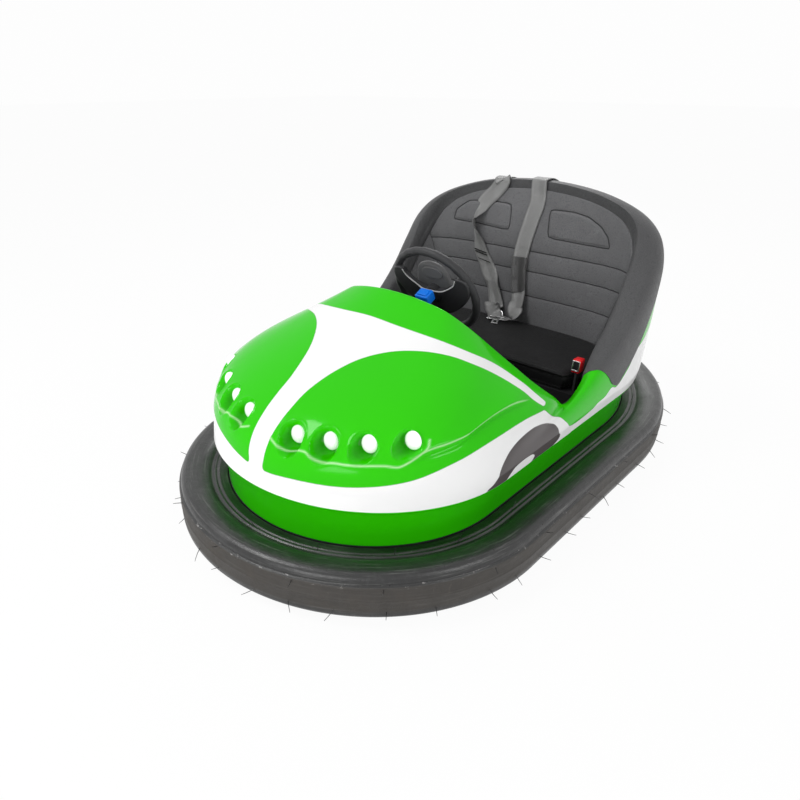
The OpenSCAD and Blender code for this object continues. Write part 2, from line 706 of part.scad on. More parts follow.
// Belts hang over the rim, down the lining, and meet in one tongue on the cushion.
// Columns: x, height on the lining, turn of the strap about its own line
BELT_LEFT = [[-165, 1, 0], [-178, 0.9, 0], [-218, 0.72, 8], [-172, 0.5, 12], [-112, 0.28, 12], [-78, 0.16, 8]];
BELT_RIGHT = [[10, 1, 0], [6, 0.9, 0], [-6, 0.7, -2], [-10, 0.5, -4], [-2, 0.26, -8], [-20, 0.16, -8]];
strap_off = strap_t / 2 + 1;
function lining_front(x, h) =
    let (
        w = 4 - asin(min(abs(x) / (cockpit_half - 86), 1)) / 90 * 0.95,
        top = lining_top(w), foot = lining_foot(w), p = foot + (top - foot) * h
    )
    [x, p[1] - 12 - strap_off, p[2]];
function strap_section(p, a, out) =
    let (across = [cos(a), 0, sin(a)] * strap_w / 2)
    [p - across + out, p + across + out, p + across - out, p - across - out];
module strap(rows, end_x) {
    hang = [0, -strap_t / 2, 0];
    lie = [0, 0, strap_t / 2];
    end_z = cushion_top + seat_gap + strap_t / 2;
    color("black") sweep(concat(
        [for (r = rows) strap_section(lining_front(r[0], r[1]), r[2], hang)],
        [strap_section([end_x - 4, tongue_y + 26, end_z + 3], 0, (hang + lie) * 0.8),
            strap_section([end_x, tongue_y + 16 + seat_gap, end_z], 0, lie)]));
}
module belt_left() {
    strap(BELT_LEFT, tongue_x - 24);
}
module belt_right() {
    strap(BELT_RIGHT, tongue_x + 24);
}
tongue_x = -46;
tongue_y = bench_back - 70;
module belt_tongue() {
    color("silver") translate([tongue_x, tongue_y, cushion_top + seat_gap]) difference() {
        union() {
            translate([-28, -16, 0]) cube([56, 32, 3]);
            translate([-11, -44, 0]) cube([22, 30, 3]);
        }
        translate([-6, -40, -1]) cube([12, 12, 5]);
        translate([-20, 2, -1]) cube([40, 8, 5]);
    }
}
buckle_y = bench_y + 40;
stalk_h = cushion_top - bench_top + 1;
module buckle_stalk() {
    color("black") translate([bench_x - 13, buckle_y - 12, bench_top + seat_gap]) cube([6, 24, stalk_h]);
}
module belt_buckle() {
    color("red") translate([bench_x - 26.5, buckle_y - 18, bench_top + stalk_h + 2 * seat_gap])
        cube([28, 36, 42]);
}

bumper_tyre();
bumper_channel();
chassis_rails();
chassis_crosses();
floor_pan();
skirt_front();
skirt_rear();
hood();
rear_shell();
lamps_left();
lamps_right();
dash_apron();
bulkhead();
side_panel_left();
side_panel_right();
bench_box();
seat_cushion();
seat_lining();
rim_roll();
drive_bridge();
turntable();
drive_fork();
drive_motor();
drive_hub();
drive_tyre();
column_post();
column_tube();
switch_box();
steering_shaft();
steering_wheel();
wheel_pad();
rear_bracket_left();
rear_bracket_right();
rear_hub_left();
rear_hub_right();
rear_tyre_left();
rear_tyre_right();
battery_left();
battery_right();
foot_pedal();
belt_left();
belt_right();
belt_tongue();
buckle_stalk();
belt_buckle();
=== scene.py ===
"""Fairground bumper car: glossy moulded body, ring tyre, leather seat, belts and running gear."""

import json
import math
import random

import bmesh
import bpy
import numpy as np
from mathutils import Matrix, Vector
from mathutils.kdtree import KDTree


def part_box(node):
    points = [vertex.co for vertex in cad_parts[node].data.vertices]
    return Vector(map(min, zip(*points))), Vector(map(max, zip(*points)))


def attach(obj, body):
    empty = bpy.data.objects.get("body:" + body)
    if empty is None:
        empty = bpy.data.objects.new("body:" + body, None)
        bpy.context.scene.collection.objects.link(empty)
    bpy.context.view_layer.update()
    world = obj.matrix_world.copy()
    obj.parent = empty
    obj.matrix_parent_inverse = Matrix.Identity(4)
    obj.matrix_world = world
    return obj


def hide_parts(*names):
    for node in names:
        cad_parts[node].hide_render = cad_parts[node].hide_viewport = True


bl_info = {
    "name": "Bumper car",
    "version": (1, 0, 0),
    "blender": (4, 5, 0),
    "location": "3D View > Sidebar > Bumper car",
    "description": "Builds a fairground bumper car round its packed frame",
    "category": "Object",
}

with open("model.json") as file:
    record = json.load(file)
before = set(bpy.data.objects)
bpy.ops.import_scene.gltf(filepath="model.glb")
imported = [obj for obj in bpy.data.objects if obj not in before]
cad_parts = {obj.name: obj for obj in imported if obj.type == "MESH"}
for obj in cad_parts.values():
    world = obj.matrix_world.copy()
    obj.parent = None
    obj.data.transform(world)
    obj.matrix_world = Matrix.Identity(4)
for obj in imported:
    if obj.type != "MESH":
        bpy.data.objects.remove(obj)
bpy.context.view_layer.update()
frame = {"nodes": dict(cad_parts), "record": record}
MM = 0.001

# Plan of the ring tyre's outer face, in millimetres: nose half circle, straight side, side arc, tail arc
HALF_W = 550.0
NOSE_Y = -410.0
TAIL_R = 450.0
TAIL_Y = 510.0
SIDE_A = math.radians(44)
SIDE_R = (HALF_W - TAIL_R * math.cos(SIDE_A)) / (1 - math.cos(SIDE_A))
SIDE_X = HALF_W - SIDE_R
SIDE_END_Y = TAIL_Y - (SIDE_R - TAIL_R) * math.sin(SIDE_A)

# Lines round the body as insets from that face and heights, at nose, side and tail
LIP = ((112, 105, 115), (248, 244, 250))
BAND = ((120, 101, 118), (285, 275, 290))
TOP_Z = 795.6
# Rim of the cockpit: station, half width, y, height, rise over the band, reach outward, lift
RIM = np.array([
    [0, 0, -335, 610, 170, 250, -150],
    [0.35, 150, -318, 590, 180, 245, -125],
    [0.52, 221, -290, 550, 195, 195, -90],
    [0.7, 286, -250, 492, 175, 115, -55],
    [1, 394, -150, 372, 90, 60, 20],
    [1.25, 404, -60.3, 312, 60, 26, 26],
    [1.5, 408, 19.1, 348, 62, 20, 24],
    [1.75, 394, 108.8, 416, 90, 52, 38],
    [2, 390, 195, 490, 150, 76, 50],
    [2.25, 386, 258, 575, 200, 95, 50],
    [2.5, 378, 308, 650, 230, 110, 50],
    [2.8, 350, 352, TOP_Z - 90, 250, 106, 45],
    [3.15, 288, 382, TOP_Z - 48, 260, 98, 40],
    [3.55, 170, 394, TOP_Z - 14, 265, 95, 40],
    [4, 0, 396, TOP_Z, 265, 100, 42],
], float)
# Height on the skin where the leather of the rim begins
LEATHER = np.array([[1.58, 1], [1.61, 0.742], [1.72, 0.433], [1.795, 0.24], [1.83, 0.135], [1.905, 0.05],
                    [1.96, 0.125], [2.04, 0.195], [2.12, 0.265], [2.2, 0.33], [2.3, 0.387], [2.42, 0.44],
                    [2.6, 0.51], [2.8, 0.56], [3.1, 0.598], [3.5, 0.622], [4, 0.63]])
# Stations over which that height is evened out, and how far the shell reaches in under the leather
LEATHER_SOFT = (-0.02, -0.01, 0, 0.01, 0.02)
UNDER_LEATHER = 0.03
# Station where the bonnet meets the rear shell, and the station and height that end the finer mesh
SPLIT_W = 1.5
FINE_W = 0.92
FINE_V = 0.45
# Shell, its turned edge, the roll's drop, the lining, its foot and the bench, in millimetres
SHELL_T = 8.0
FLANGE_R = 5.0
FLANGE_DEEP = 7.0
ROLL_DEEP = 75.0
LINING_T = 24.0
FOOT_IN = 0.972
FOOT_BACK = 24.0
BENCH_TOP = 296.0
CUSHION_TOP = 352.0


def station(w):
    """Stations past the tail come back along the other side as negative ones."""
    w = np.asarray(w, float)
    return np.where(w > 4, w - 8, w)


def path(u):
    """x, y and outward x, y of the tyre's outer face at stations u from 0 to 4."""
    u = np.asarray(u, float)
    nose = np.pi / 2 * np.clip(u, 0, 1)
    side = SIDE_A * np.clip(u - 2, 0, 1)
    tail = SIDE_A + (math.pi / 2 - SIDE_A) * np.clip(u - 3, 0, 1)
    where = [u <= 1, u <= 2, u <= 3]
    x = np.select(where, [HALF_W * np.sin(nose), HALF_W + 0 * u, SIDE_X + SIDE_R * np.cos(side)],
                  TAIL_R * np.cos(tail))
    y = np.select(where, [NOSE_Y - HALF_W * np.cos(nose),
                          NOSE_Y + (SIDE_END_Y - NOSE_Y) * np.clip(u - 1, 0, 1),
                          SIDE_END_Y + SIDE_R * np.sin(side)], TAIL_Y + TAIL_R * np.sin(tail))
    out_x = np.select(where, [np.sin(nose), 1 + 0 * u, np.cos(side)], np.cos(tail))
    out_y = np.select(where, [-np.cos(nose), 0 * u, np.sin(side)], np.sin(tail))
    return x, y, out_x, out_y


def shares(u, values):
    """A value that goes from nose to side to tail."""
    nose = np.where(u < 1, np.cos(np.pi / 2 * u) ** 2, 0)
    tail = np.where(u < 2, 0, np.sin(np.pi / 4 * (u - 2)) ** 2)
    return values[0] * nose + values[1] * (1 - nose - tail) + values[2] * tail


def ring_point(line, u):
    x, y, out_x, out_y = path(u)
    inset = shares(u, line[0])
    return np.stack([x - inset * out_x, y - inset * out_y, shares(u, line[1])], -1)


def inset_point(w, inset, z):
    """A point at an inset from the tyre's outer face, at any station."""
    w, inset, z = np.broadcast_arrays(station(w), np.asarray(inset, float), np.asarray(z, float))
    x, y, out_x, out_y = path(np.abs(w))
    return np.stack([(x - inset * out_x) * np.where(w < 0, -1, 1), y - inset * out_y, z], -1)


def rim_row(k):
    last = len(RIM) - 1
    if 0 <= k <= last:
        return RIM[k]
    row = (RIM[1] if k < 0 else RIM[last - 1]).copy()
    row[0] = (0 if k < 0 else 8) - row[0]
    row[1] = -row[1]
    return row


RIM_ROWS = np.array([rim_row(k) for k in range(-1, len(RIM) + 1)])


def rim_at(u):
    """The rim's row at stations u, on a smooth curve through the rows above."""
    k = np.clip(np.searchsorted(RIM[:, 0], u, side="left") - 1, 0, len(RIM) - 2)
    p0, p1, p2, p3 = (RIM_ROWS[k + i] for i in range(4))
    span = p2[..., :1] - p1[..., :1]
    t = (u[..., None] - p1[..., :1]) / span
    m1 = (p2 - p0) * (span / (p2[..., :1] - p0[..., :1]))
    m2 = (p3 - p1) * (span / (p3[..., :1] - p1[..., :1]))
    return ((2 * t**3 - 3 * t**2 + 1) * p1 + (t**3 - 2 * t**2 + t) * m1
            + (3 * t**2 - 2 * t**3) * p2 + (t**3 - t**2) * m2)


def skin(w, v):
    """The body's outer skin: v is -1 at the lip, 0 at the band's middle and 1 at the rim."""
    w, v = np.broadcast_arrays(station(w), np.asarray(v, float))
    u = np.abs(w)
    v = v[..., None]
    band = ring_point(BAND, u)
    row = rim_at(u)
    out_x, out_y = path(u)[2:]
    end = row[..., 1:4]
    low = band + np.stack([0 * u, 0 * u, row[..., 4]], -1)
    high = end + np.stack([out_x * row[..., 5], out_y * row[..., 5], row[..., 6]], -1)
    s = 1 - v
    points = np.where(v <= 0, band * (1 + v) - ring_point(LIP, u) * v,
                      s**3 * band + 3 * s * s * v * low + 3 * s * v * v * high + v**3 * end)
    points[..., 0] *= np.where(w < 0, -1, 1)
    return points


def unit(a):
    return a / np.maximum(np.linalg.norm(a, axis=-1, keepdims=True), 1e-9)


def skin_out(w, v, e=0.02):
    """Outward direction of the skin."""
    w, v = np.broadcast_arrays(np.asarray(w, float), np.asarray(v, float))
    low = np.maximum(v - e, np.where(v > 0, 0, -1))
    high = np.minimum(v + e, np.where(v >= 0, 1, 0))
    return unit(np.cross(skin(w + e, v) - skin(w - e, v), skin(w, high) - skin(w, low)))


def leather_v(w):
    """Height on the skin where the leather begins, evened out over nearby stations."""
    u = np.abs(station(w))
    return sum(np.interp(u + d, LEATHER[:, 0], LEATHER[:, 1]) for d in LEATHER_SOFT) / len(LEATHER_SOFT)


def rim_point(w):
    side = np.where(station(w) < 0, -1, 1)
    return rim_at(np.abs(station(w)))[..., 1:4] * np.stack([side, 0 * side + 1, 0 * side + 1], -1)


def rim_normal(w):
    out_x, out_y = path(np.abs(station(w)))[2:]
    return np.stack([out_x * np.where(station(w) < 0, -1, 1), out_y, 0 * out_x], -1)


def smooth_step(x, low, high):
    t = np.clip((x - low) / (high - low), 0, 1)
    return t * t * (3 - 2 * t)


def bell(x, centre, width):
    return np.exp(-(((x - centre) / width) ** 2))


def spline(points, count, closed=False):
    """Points along a smooth curve through the given ones."""
    p = np.array(points, float)
    if closed:
        p = np.concatenate([p[-1:], p, p[:2]])
    else:
        p = np.concatenate([2 * p[:1] - p[1:2], p, 2 * p[-1:] - p[-2:-1]])
    spans = len(p) - 3
    t = np.linspace(0, spans, count, endpoint=not closed)
    k = np.minimum(t.astype(int), spans - 1)
    t = (t - k)[:, None]
    a, b, c, d = p[k], p[k + 1], p[k + 2], p[k + 3]
    return 0.5 * (2 * b + (c - a) * t + (2 * a - 5 * b + 4 * c - d) * t**2 + (3 * b - a - 3 * c + d) * t**3)


def grid_faces(rows, columns, close_rows=False, close_columns=False, start=0, flip=False):
    """Quads of a grid of points, with its last row or column joined to the first where asked."""
    i = np.arange(rows if close_rows else rows - 1)[:, None]
    j = np.arange(columns if close_columns else columns - 1)[None, :]
    a = i * columns + j
    b = i * columns + (j + 1) % columns
    c = (i + 1) % rows * columns + (j + 1) % columns
    d = (i + 1) % rows * columns + j
    quads = np.stack(np.broadcast_arrays(a, b, c, d), -1).reshape(-1, 4) + start
    return quads[:, ::-1] if flip else quads


def sleeve_faces(rows, columns, turned=False):
    """Faces of a row of rings whose two ends are closed."""
    first = np.arange(columns)[None]
    ends = [first, (rows - 1) * columns + first[:, ::-1]]
    return [grid_faces(rows, columns, close_columns=True), *(end[:, ::-1] if turned else end for end in ends)]


def add_mesh(name, points, faces, material, body="car_body", values=None, replaces=(), slot=None, edge=35):
    """A piece from points in millimetres, riding on a body. values are numbers kept at its points."""
    mesh = bpy.data.meshes.new(name)
    mesh.from_pydata((np.asarray(points, float).reshape(-1, 3) * MM).tolist(), [],
                     [list(map(int, f)) for group in faces for f in group])
    mesh.validate()
    for key, numbers in (values or {}).items():
        layer = mesh.attributes.new(key, "FLOAT", "POINT")
        layer.data.foreach_set("value", np.asarray(numbers, np.float32).ravel())
    piece = bpy.data.objects.new(name, mesh)
    bpy.context.scene.collection.objects.link(piece)
    mesh.materials.append(material)
    mesh.shade_smooth()
    if edge:
        mesh.set_sharp_from_angle(angle=math.radians(edge))
    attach(piece, body)
    if replaces:
        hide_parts(*replaces)
    return piece


def join_parts(parts):
    """Joins (points, faces) pairs into one list of points and of faces."""
    points, faces, start = [], [], 0
    for part_points, part_faces in parts:
        part_points = np.asarray(part_points, float).reshape(-1, 3)
        points.append(part_points)
        faces.extend([np.asarray(group) + start for group in part_faces])
        start += len(part_points)
    return np.concatenate(points), faces


def shell_parts(outer, inner, picks):
    """Points and faces of a closed shell. inner holds only the rows of outer that picks names."""
    columns, rows = outer.shape[:2]
    count = columns * rows
    inner_rows = len(picks)
    faces = [grid_faces(columns, rows), grid_faces(columns, inner_rows, start=count, flip=True)]
    i = np.arange(columns - 1)
    for out_row, in_row, turn in ((0, 0, False), (rows - 1, inner_rows - 1, True)):
        a, b = i * rows + out_row, (i + 1) * rows + out_row
        c, d = count + (i + 1) * inner_rows + in_row, count + i * inner_rows + in_row
        quads = np.stack([a, b, c, d], -1)
        faces.append(quads[:, ::-1] if turn else quads)
    for column, turn in ((0, True), (columns - 1, False)):
        ends = []
        for k in range(inner_rows - 1):
            edge = [column * rows + r for r in range(picks[k], picks[k + 1] + 1)]
            ends.append(edge + [count + column * inner_rows + k + 1, count + column * inner_rows + k])
        faces.extend([np.array([e[::-1] if turn else e]) for e in ends])
    return np.concatenate([outer.reshape(-1, 3), inner.reshape(-1, 3)]), faces


def tube(points, radius, sides=12, closed=False):
    """Points and faces of a tube along points. radius may change along it."""
    p = np.asarray(points, float)
    n = len(p)
    radius = np.broadcast_to(np.asarray(radius, float), (n,))
    along = unit(np.roll(p, -1, 0) - np.roll(p, 1, 0) if closed else np.gradient(p, axis=0))
    side = np.cross(along[0], [0.0, 0.0, 1.0])
    if np.linalg.norm(side) < 0.1:
        side = np.cross(along[0], [0.0, 1.0, 0.0])
    frames = []
    for t in along:
        side = unit(side - t * np.dot(side, t))
        frames.append(side)
    side = np.array(frames)
    up = np.cross(side, along)
    if closed:
        # The frame comes back turned after one round, so the turn is spread over the ring
        lag = math.atan2(np.dot(np.cross(side[-1], side[0]), along[0]), np.dot(side[-1], side[0]))
        turn = np.linspace(0, lag, n)[:, None]
        side, up = side * np.cos(turn) - up * np.sin(turn), up * np.cos(turn) + side * np.sin(turn)
    a = np.linspace(0, 2 * math.pi, sides, endpoint=False)
    ring = np.cos(a)[None, :, None] * side[:, None] + np.sin(a)[None, :, None] * up[:, None]
    rings = p[:, None] + ring * radius[:, None, None]
    return rings.reshape(-1, 3), ([grid_faces(n, sides, True, True)] if closed
                                  else sleeve_faces(n, sides, turned=True))


def lathe(profile, sides=48, origin=(0, 0, 0), axis=(0, 0, 1), side=(1, 0, 0)):
    """Points and faces of a closed form turned about an axis. profile holds (radius, along) pairs."""
    profile = np.asarray(profile, float)
    axis = unit(np.asarray(axis, float))
    side = unit(np.asarray(side, float) - axis * np.dot(side, axis))
    up = np.cross(axis, side)
    a = np.linspace(0, 2 * math.pi, sides, endpoint=False)[:, None, None]
    points = (np.asarray(origin, float) + profile[None, :, 1:] * axis
              + profile[None, :, :1] * (np.cos(a) * side + np.sin(a) * up))
    n = len(profile)
    faces = [grid_faces(sides, n, close_rows=True)]
    faces.append(np.array([[k * n for k in range(sides)]]))
    faces.append(np.array([[k * n + n - 1 for k in range(sides)][::-1]]))
    return points.reshape(-1, 3), faces


class Shade:
    """A socket of a material that can stand in sums."""

    def __init__(self, finish, socket):
        self.finish = finish
        self.socket = socket

    def _sum(self, operation, *values):
        return self.finish.node("ShaderNodeMath", {"operation": operation}, dict(enumerate(values)))

    def __add__(self, other):
        return self._sum("ADD", self, other)

    __radd__ = __add__

    def __rsub__(self, other):
        return self._sum("SUBTRACT", other, self)

    def __mul__(self, other):
        return self._sum("MULTIPLY", self, other)

    __rmul__ = __mul__

    def most(self, other):
        return self._sum("MAXIMUM", self, other)

    def absolute(self):
        return self._sum("ABSOLUTE", self)

    def sine(self):
        return self._sum("SINE", self)


class Finish:
    """One material. node adds any node and gives back its first output, or the one named."""

    def __init__(self, name, colour, roughness, metallic=0.0, coat=0.0, sheen=0.0, shine=0.5):
        self.material = bpy.data.materials.new(name)
        self.material.use_nodes = True
        self.tree = self.material.node_tree
        self.shader = self.tree.nodes["Principled BSDF"]
        self.material.diffuse_color = (*colour, 1)
        for key, value in (("Base Color", (*colour, 1)), ("Roughness", roughness), ("Metallic", metallic),
                           ("Coat Weight", coat), ("Coat Roughness", 0.05), ("Sheen Weight", sheen),
                           ("Specular IOR Level", shine)):
            self.shader.inputs[key].default_value = value
        self.place = self.node("ShaderNodeTexCoord", {}, {}, "Object")

    def put(self, target, value):
        if isinstance(value, Shade):
            self.tree.links.new(value.socket, target)
        elif target.type == "RGBA" and not isinstance(value, (int, float)):
            target.default_value = (*value[:3], 1)
        else:
            target.default_value = value

    def node(self, kind, settings=None, inputs=None, output=0):
        made = self.tree.nodes.new(kind)
        for key, value in (settings or {}).items():
            setattr(made, key, value)
        for key, value in (inputs or {}).items():
            self.put(made.inputs[key], value)
        return Shade(self, made.outputs[output])

    def value_of(self, name):
        """A number kept at the points of the mesh."""
        return self.node("ShaderNodeAttribute", {"attribute_name": name}, {}, "Fac")

    def noise(self, scale, detail=3.0, rough=0.5, stretch=None):
        place = self.place
        if stretch:
            place = self.node("ShaderNodeMapping", {}, {"Vector": place, "Scale": stretch})
        return self.node("ShaderNodeTexNoise", {}, {"Vector": place, "Scale": scale, "Detail": detail,
                                                    "Roughness": rough})

    def cells(self, scale, feature="F1"):
        return self.node("ShaderNodeTexVoronoi", {"feature": feature}, {"Vector": self.place, "Scale": scale},
                         "Distance")

    def mix(self, factor, first, second):
        """Colour between two colours."""
        made = self.tree.nodes.new("ShaderNodeMix")
        made.data_type = "RGBA"
        self.put(made.inputs[0], factor)
        self.put(made.inputs[6], first)
        self.put(made.inputs[7], second)
        return Shade(self, made.outputs[2])

    def ramp(self, value, low, high):
        """0 below low and 1 above high."""
        return self.node("ShaderNodeMapRange", {"interpolation_type": "SMOOTHSTEP"},
                         {"Value": value, "From Min": low, "From Max": high})

    def edge_of(self, name, soft=0.7):
        """1 inside the outline whose signed distance in millimetres is kept at the points."""
        return self.node("ShaderNodeMapRange", {}, {"Value": self.value_of(name), "From Min": -soft,
                                                    "From Max": soft})

    def set(self, key, value):
        self.put(self.shader.inputs[key], value)

    def bump(self, height, distance, strength=1.0):
        """Relief of so many metres, added to any relief there already."""
        before = self.shader.inputs["Normal"].links
        inputs = {"Strength": strength, "Distance": distance, "Height": height}
        if before:
            inputs["Normal"] = Shade(self, before[0].from_socket)
        self.set("Normal", self.node("ShaderNodeBump", {}, inputs))


def tint(colour, factor, more=0.0):
    """A colour made lighter or darker."""
    return [c * factor + more for c in colour]


def paint_finish(colours):
    """Gloss body paint: green, with white and the dark wheel drawing where their outlines say; painted shade
    in the scoops, painted highlight lines on the ridge and lip.
    """
    paint = Finish("gloss_body_paint", colours.green, 0.16, coat=0.15, shine=0.08)
    cloud = paint.noise(3.0, 2.0)
    green = paint.mix(cloud, colours.green, tint(colours.green, 0.9))
    grey = paint.mix(paint.noise(6.0, 3.0), colours.decal, tint(colours.decal, 1.35))
    body = paint.mix(paint.edge_of("green_edge"), colours.white, green)
    body = paint.mix(paint.edge_of("decal_edge"), body, grey)
    rim_line = 1 - paint.ramp(paint.value_of("green_edge").absolute(), 0.4, 1.4)
    body = paint.mix(rim_line * 0.35, body, (0.05, 0.16, 0.03))
    # Painted shade: darker green inside the lamp scoops, deeper where the skin is sunk further
    body = paint.mix(paint.value_of("scoop") * 0.5, body, tint(colours.green, 0.3))
    # Painted highlight: a pale green line along the ridge and the wavy lip under the lamps
    body = paint.mix(paint.value_of("painted_edge_highlight") * 0.7, body, (0.66, 0.93, 0.55))
    paint.set("Base Color", body)
    paint.set("Roughness", 0.14 + paint.noise(40.0, 2.0) * 0.06)
    paint.bump(paint.noise(22.0, 2.0), 0.0006)
    return paint.material


def plain_paint(name, colour, rough=0.2):
    paint = Finish(name, colour, rough, coat=0.12, shine=0.1)
    paint.set("Base Color", paint.mix(paint.noise(3.0, 2.0), colour, tint(colour, 0.86)))
    paint.set("Roughness", rough + paint.noise(40.0, 2.0) * 0.08)
    paint.bump(paint.noise(22.0, 2.0), 0.0006)
    return paint.material


def rubber_finish(name, colour, dusty=0.35, tread=None):
    """Black rubber with dust. A ring tyre's also has scuffs along it and a worn, brownish tread."""
    rubber = Finish(name, colour, 0.4, shine=0.5)
    dust = rubber.ramp(rubber.noise(7.0, 6.0, 0.6), 0.5, 0.75)
    streak = rubber.ramp(rubber.noise(60.0, 4.0, 0.6, (1.0, 1.0, 0.15)), 0.5, 0.8)
    grey = tint(colour, 2.2, 0.008)
    shade = rubber.mix(dust * dusty, colour, grey)
    shade = rubber.mix(streak * dusty * 0.5, shade, tint(grey, 1.5))
    rough = 0.24 + dust * 0.2 + rubber.noise(120.0, 3.0) * 0.12
    if tread:
        spot = rubber.node("ShaderNodeCombineXYZ", {}, {"X": rubber.value_of("across"),
                                                        "Y": rubber.value_of("around")})
        drawn = rubber.node("ShaderNodeTexNoise", {}, {"Vector": spot, "Scale": 1.0, "Detail": 6.0,
                                                       "Roughness": 0.72})
        shade = rubber.mix(rubber.ramp(drawn, 0.52, 0.72) * 0.75, shade, (0.15, 0.15, 0.145))
        shade = rubber.mix(rubber.ramp(drawn, 0.5, 0.3) * 0.8, shade, tint(colour, 0.35))
        worn = rubber.value_of("tread")
        mottle = rubber.mix(rubber.noise(26.0, 6.0, 0.65), tint(tread, 0.55), tint(tread, 1.35))
        scrape = rubber.ramp(rubber.noise(45.0, 5.0, 0.7, (1.0, 1.0, 0.35)), 0.62, 0.72)
        mottle = rubber.mix(scrape * 0.5, mottle, tint(tread, 2.4))
        shade = rubber.mix(worn * (0.65 + dust * 0.35), shade, mottle)
        rough = rough + worn * 0.3
        scuff = rubber.ramp(rubber.noise(55.0, 5.0, 0.7, (1.0, 1.0, 2.5)), 0.6, 0.68)
        shade = rubber.mix(scuff * rubber.value_of("edge_wear") * 0.7, shade, (0.38, 0.37, 0.36))
    rubber.set("Base Color", shade)
    rubber.set("Roughness", rough)
    rubber.bump(rubber.noise(380.0, 3.0), 0.0005)
    rubber.bump(rubber.noise(30.0, 4.0), 0.0014)
    return rubber.material


def leather_finish(name, colour, gloss=0.4, shine=0.28, lines=()):
    """Grained leather cloth: pebbled relief, worn patches, soft folds and a low shine, with sewn lines."""
    hide = Finish(name, colour, gloss, sheen=0.05, shine=shine)
    pebble = hide.cells(420.0)
    crease = hide.cells(189.0, "DISTANCE_TO_EDGE")
    tone = hide.mix(hide.noise(4.0, 5.0, 0.65), tint(colour, 0.6), tint(colour, 1.45))
    rubbed = hide.ramp(hide.noise(11.0, 6.0, 0.7), 0.6, 0.78)
    tone = hide.mix(rubbed * 0.5, tone, tint(colour, 2.1))
    tone = hide.mix(hide.ramp(crease, 0.0, 0.12), tint(colour, 0.72), tone)
    hide.bump(pebble, 0.0008, 0.7)
    hide.bump(hide.ramp(crease, 0.0, 0.15), 0.0006, 0.6)
    hide.bump(hide.noise(14.0, 3.0), 0.004, 0.5)
    sewn = None
    for line in lines:
        mark = 1 - hide.ramp(hide.value_of(line).absolute(), 0.5, 2.2)
        if line == "channels":
            mark = mark * hide.ramp(hide.value_of("wing"), 0.0, 1.5)
        sewn = sewn.most(mark) if sewn else mark
    if sewn:
        tone = hide.mix(sewn * 0.85, tone, tint(colour, 0.12))
        hide.bump(1 - sewn, 0.004)
    hide.set("Base Color", tone)
    hide.set("Roughness", gloss - rubbed * 0.08 + hide.noise(90.0, 3.0) * 0.14)
    return hide.material


def webbing_finish(name, colour):
    """Woven belt: ribs across, a rolled edge and a satin shine."""
    band = Finish(name, colour, 0.34, sheen=0.25, shine=0.7)
    run, side = band.value_of("run"), band.value_of("side")
    rib = (run * 2.6 + side.absolute() * 1.3).sine() * 0.5 + 0.5
    edge = band.ramp(side.absolute(), 23.0, 25.0)
    tone = band.mix(rib * 0.5 + band.noise(20.0, 3.0) * 0.5, tint(colour, 0.7), tint(colour, 1.3))
    band.set("Base Color", band.mix(edge, tone, tint(colour, 0.6)))
    band.set("Roughness", 0.3 + rib * 0.12)
    band.bump(rib, 0.0005)
    band.bump(band.noise(30.0, 3.0), 0.003)
    return band.material


def metal_finish(name, colour, rough=0.35):
    """Bare metal with brush marks and duller worn patches."""
    metal = Finish(name, colour, rough, metallic=1.0)
    brushed = metal.noise(220.0, 3.0, 0.6, (1.0, 1.0, 0.08))
    worn = metal.ramp(metal.noise(18.0, 5.0, 0.6), 0.52, 0.72)
    metal.set("Base Color", metal.mix(worn, colour, tint(colour, 0.72)))
    metal.set("Roughness", rough + brushed * 0.12 + worn * 0.15)
    metal.bump(brushed, 0.0003, 0.6)
    return metal.material


def painted_steel(name, colour):
    """Brushed-on paint over steel, rubbed and dusty."""
    steel = Finish(name, colour, 0.4, shine=0.35)
    dust = steel.ramp(steel.noise(9.0, 5.0, 0.6), 0.45, 0.75)
    steel.set("Base Color", steel.mix(dust * 0.6, colour, tint(colour, 1.7, 0.02)))
    steel.set("Roughness", 0.34 + dust * 0.25)
    steel.bump(steel.noise(160.0, 4.0), 0.0006)
    return steel.material


def moulded_plastic(name, colour, rough=0.45):
    plastic = Finish(name, colour, rough, shine=0.22)
    plastic.set("Base Color", plastic.mix(plastic.noise(12.0, 4.0), colour, tint(colour, 1.3, 0.003)))
    plastic.set("Roughness", rough + plastic.noise(60.0, 3.0) * 0.12)
    plastic.bump(plastic.noise(900.0, 2.0), 0.0004)
    return plastic.material


def colour_value(name, description, default):
    return bpy.props.FloatVectorProperty(name=name, description=description, subtype="COLOR", size=3,
                                         default=default)


class BodyValues(bpy.types.PropertyGroup):
    """Colours of the moulded body and the height of its ridge."""

    green: colour_value("Green", "Gloss paint of the body", (0.03, 0.62, 0.0))
    white: colour_value("White", "White of the band and the strip", (0.93, 0.93, 0.93))
    decal: colour_value("Wheel drawing", "Dark grey of the painted wheel", (0.075, 0.065, 0.066))
    ridge: bpy.props.FloatProperty(name="Ridge", description="Height of the moulded ridge beside the lamps",
                                   unit="LENGTH", default=0.007, min=0.0, max=0.012)


class TyreValues(bpy.types.PropertyGroup):
    """Colour and moulding marks of the ring tyre."""

    rubber: colour_value("Rubber", "Colour of the ring tyre", (0.02, 0.0202, 0.0204))
    whiskers: bpy.props.IntProperty(name="Whiskers", description="Number of moulding hairs along each line",
                                    default=44, min=0, max=200)


class SeatValues(bpy.types.PropertyGroup):
    """Colours of the seat's covers and the belts."""

    leather: colour_value("Leather", "Grey leather cloth of the seat back", (0.078, 0.078, 0.081))
    cushion: colour_value("Cushion", "Black cover of the bench cushion", (0.007, 0.007, 0.0075))
    webbing: colour_value("Belts", "Satin webbing of the belts", (0.22, 0.22, 0.218))


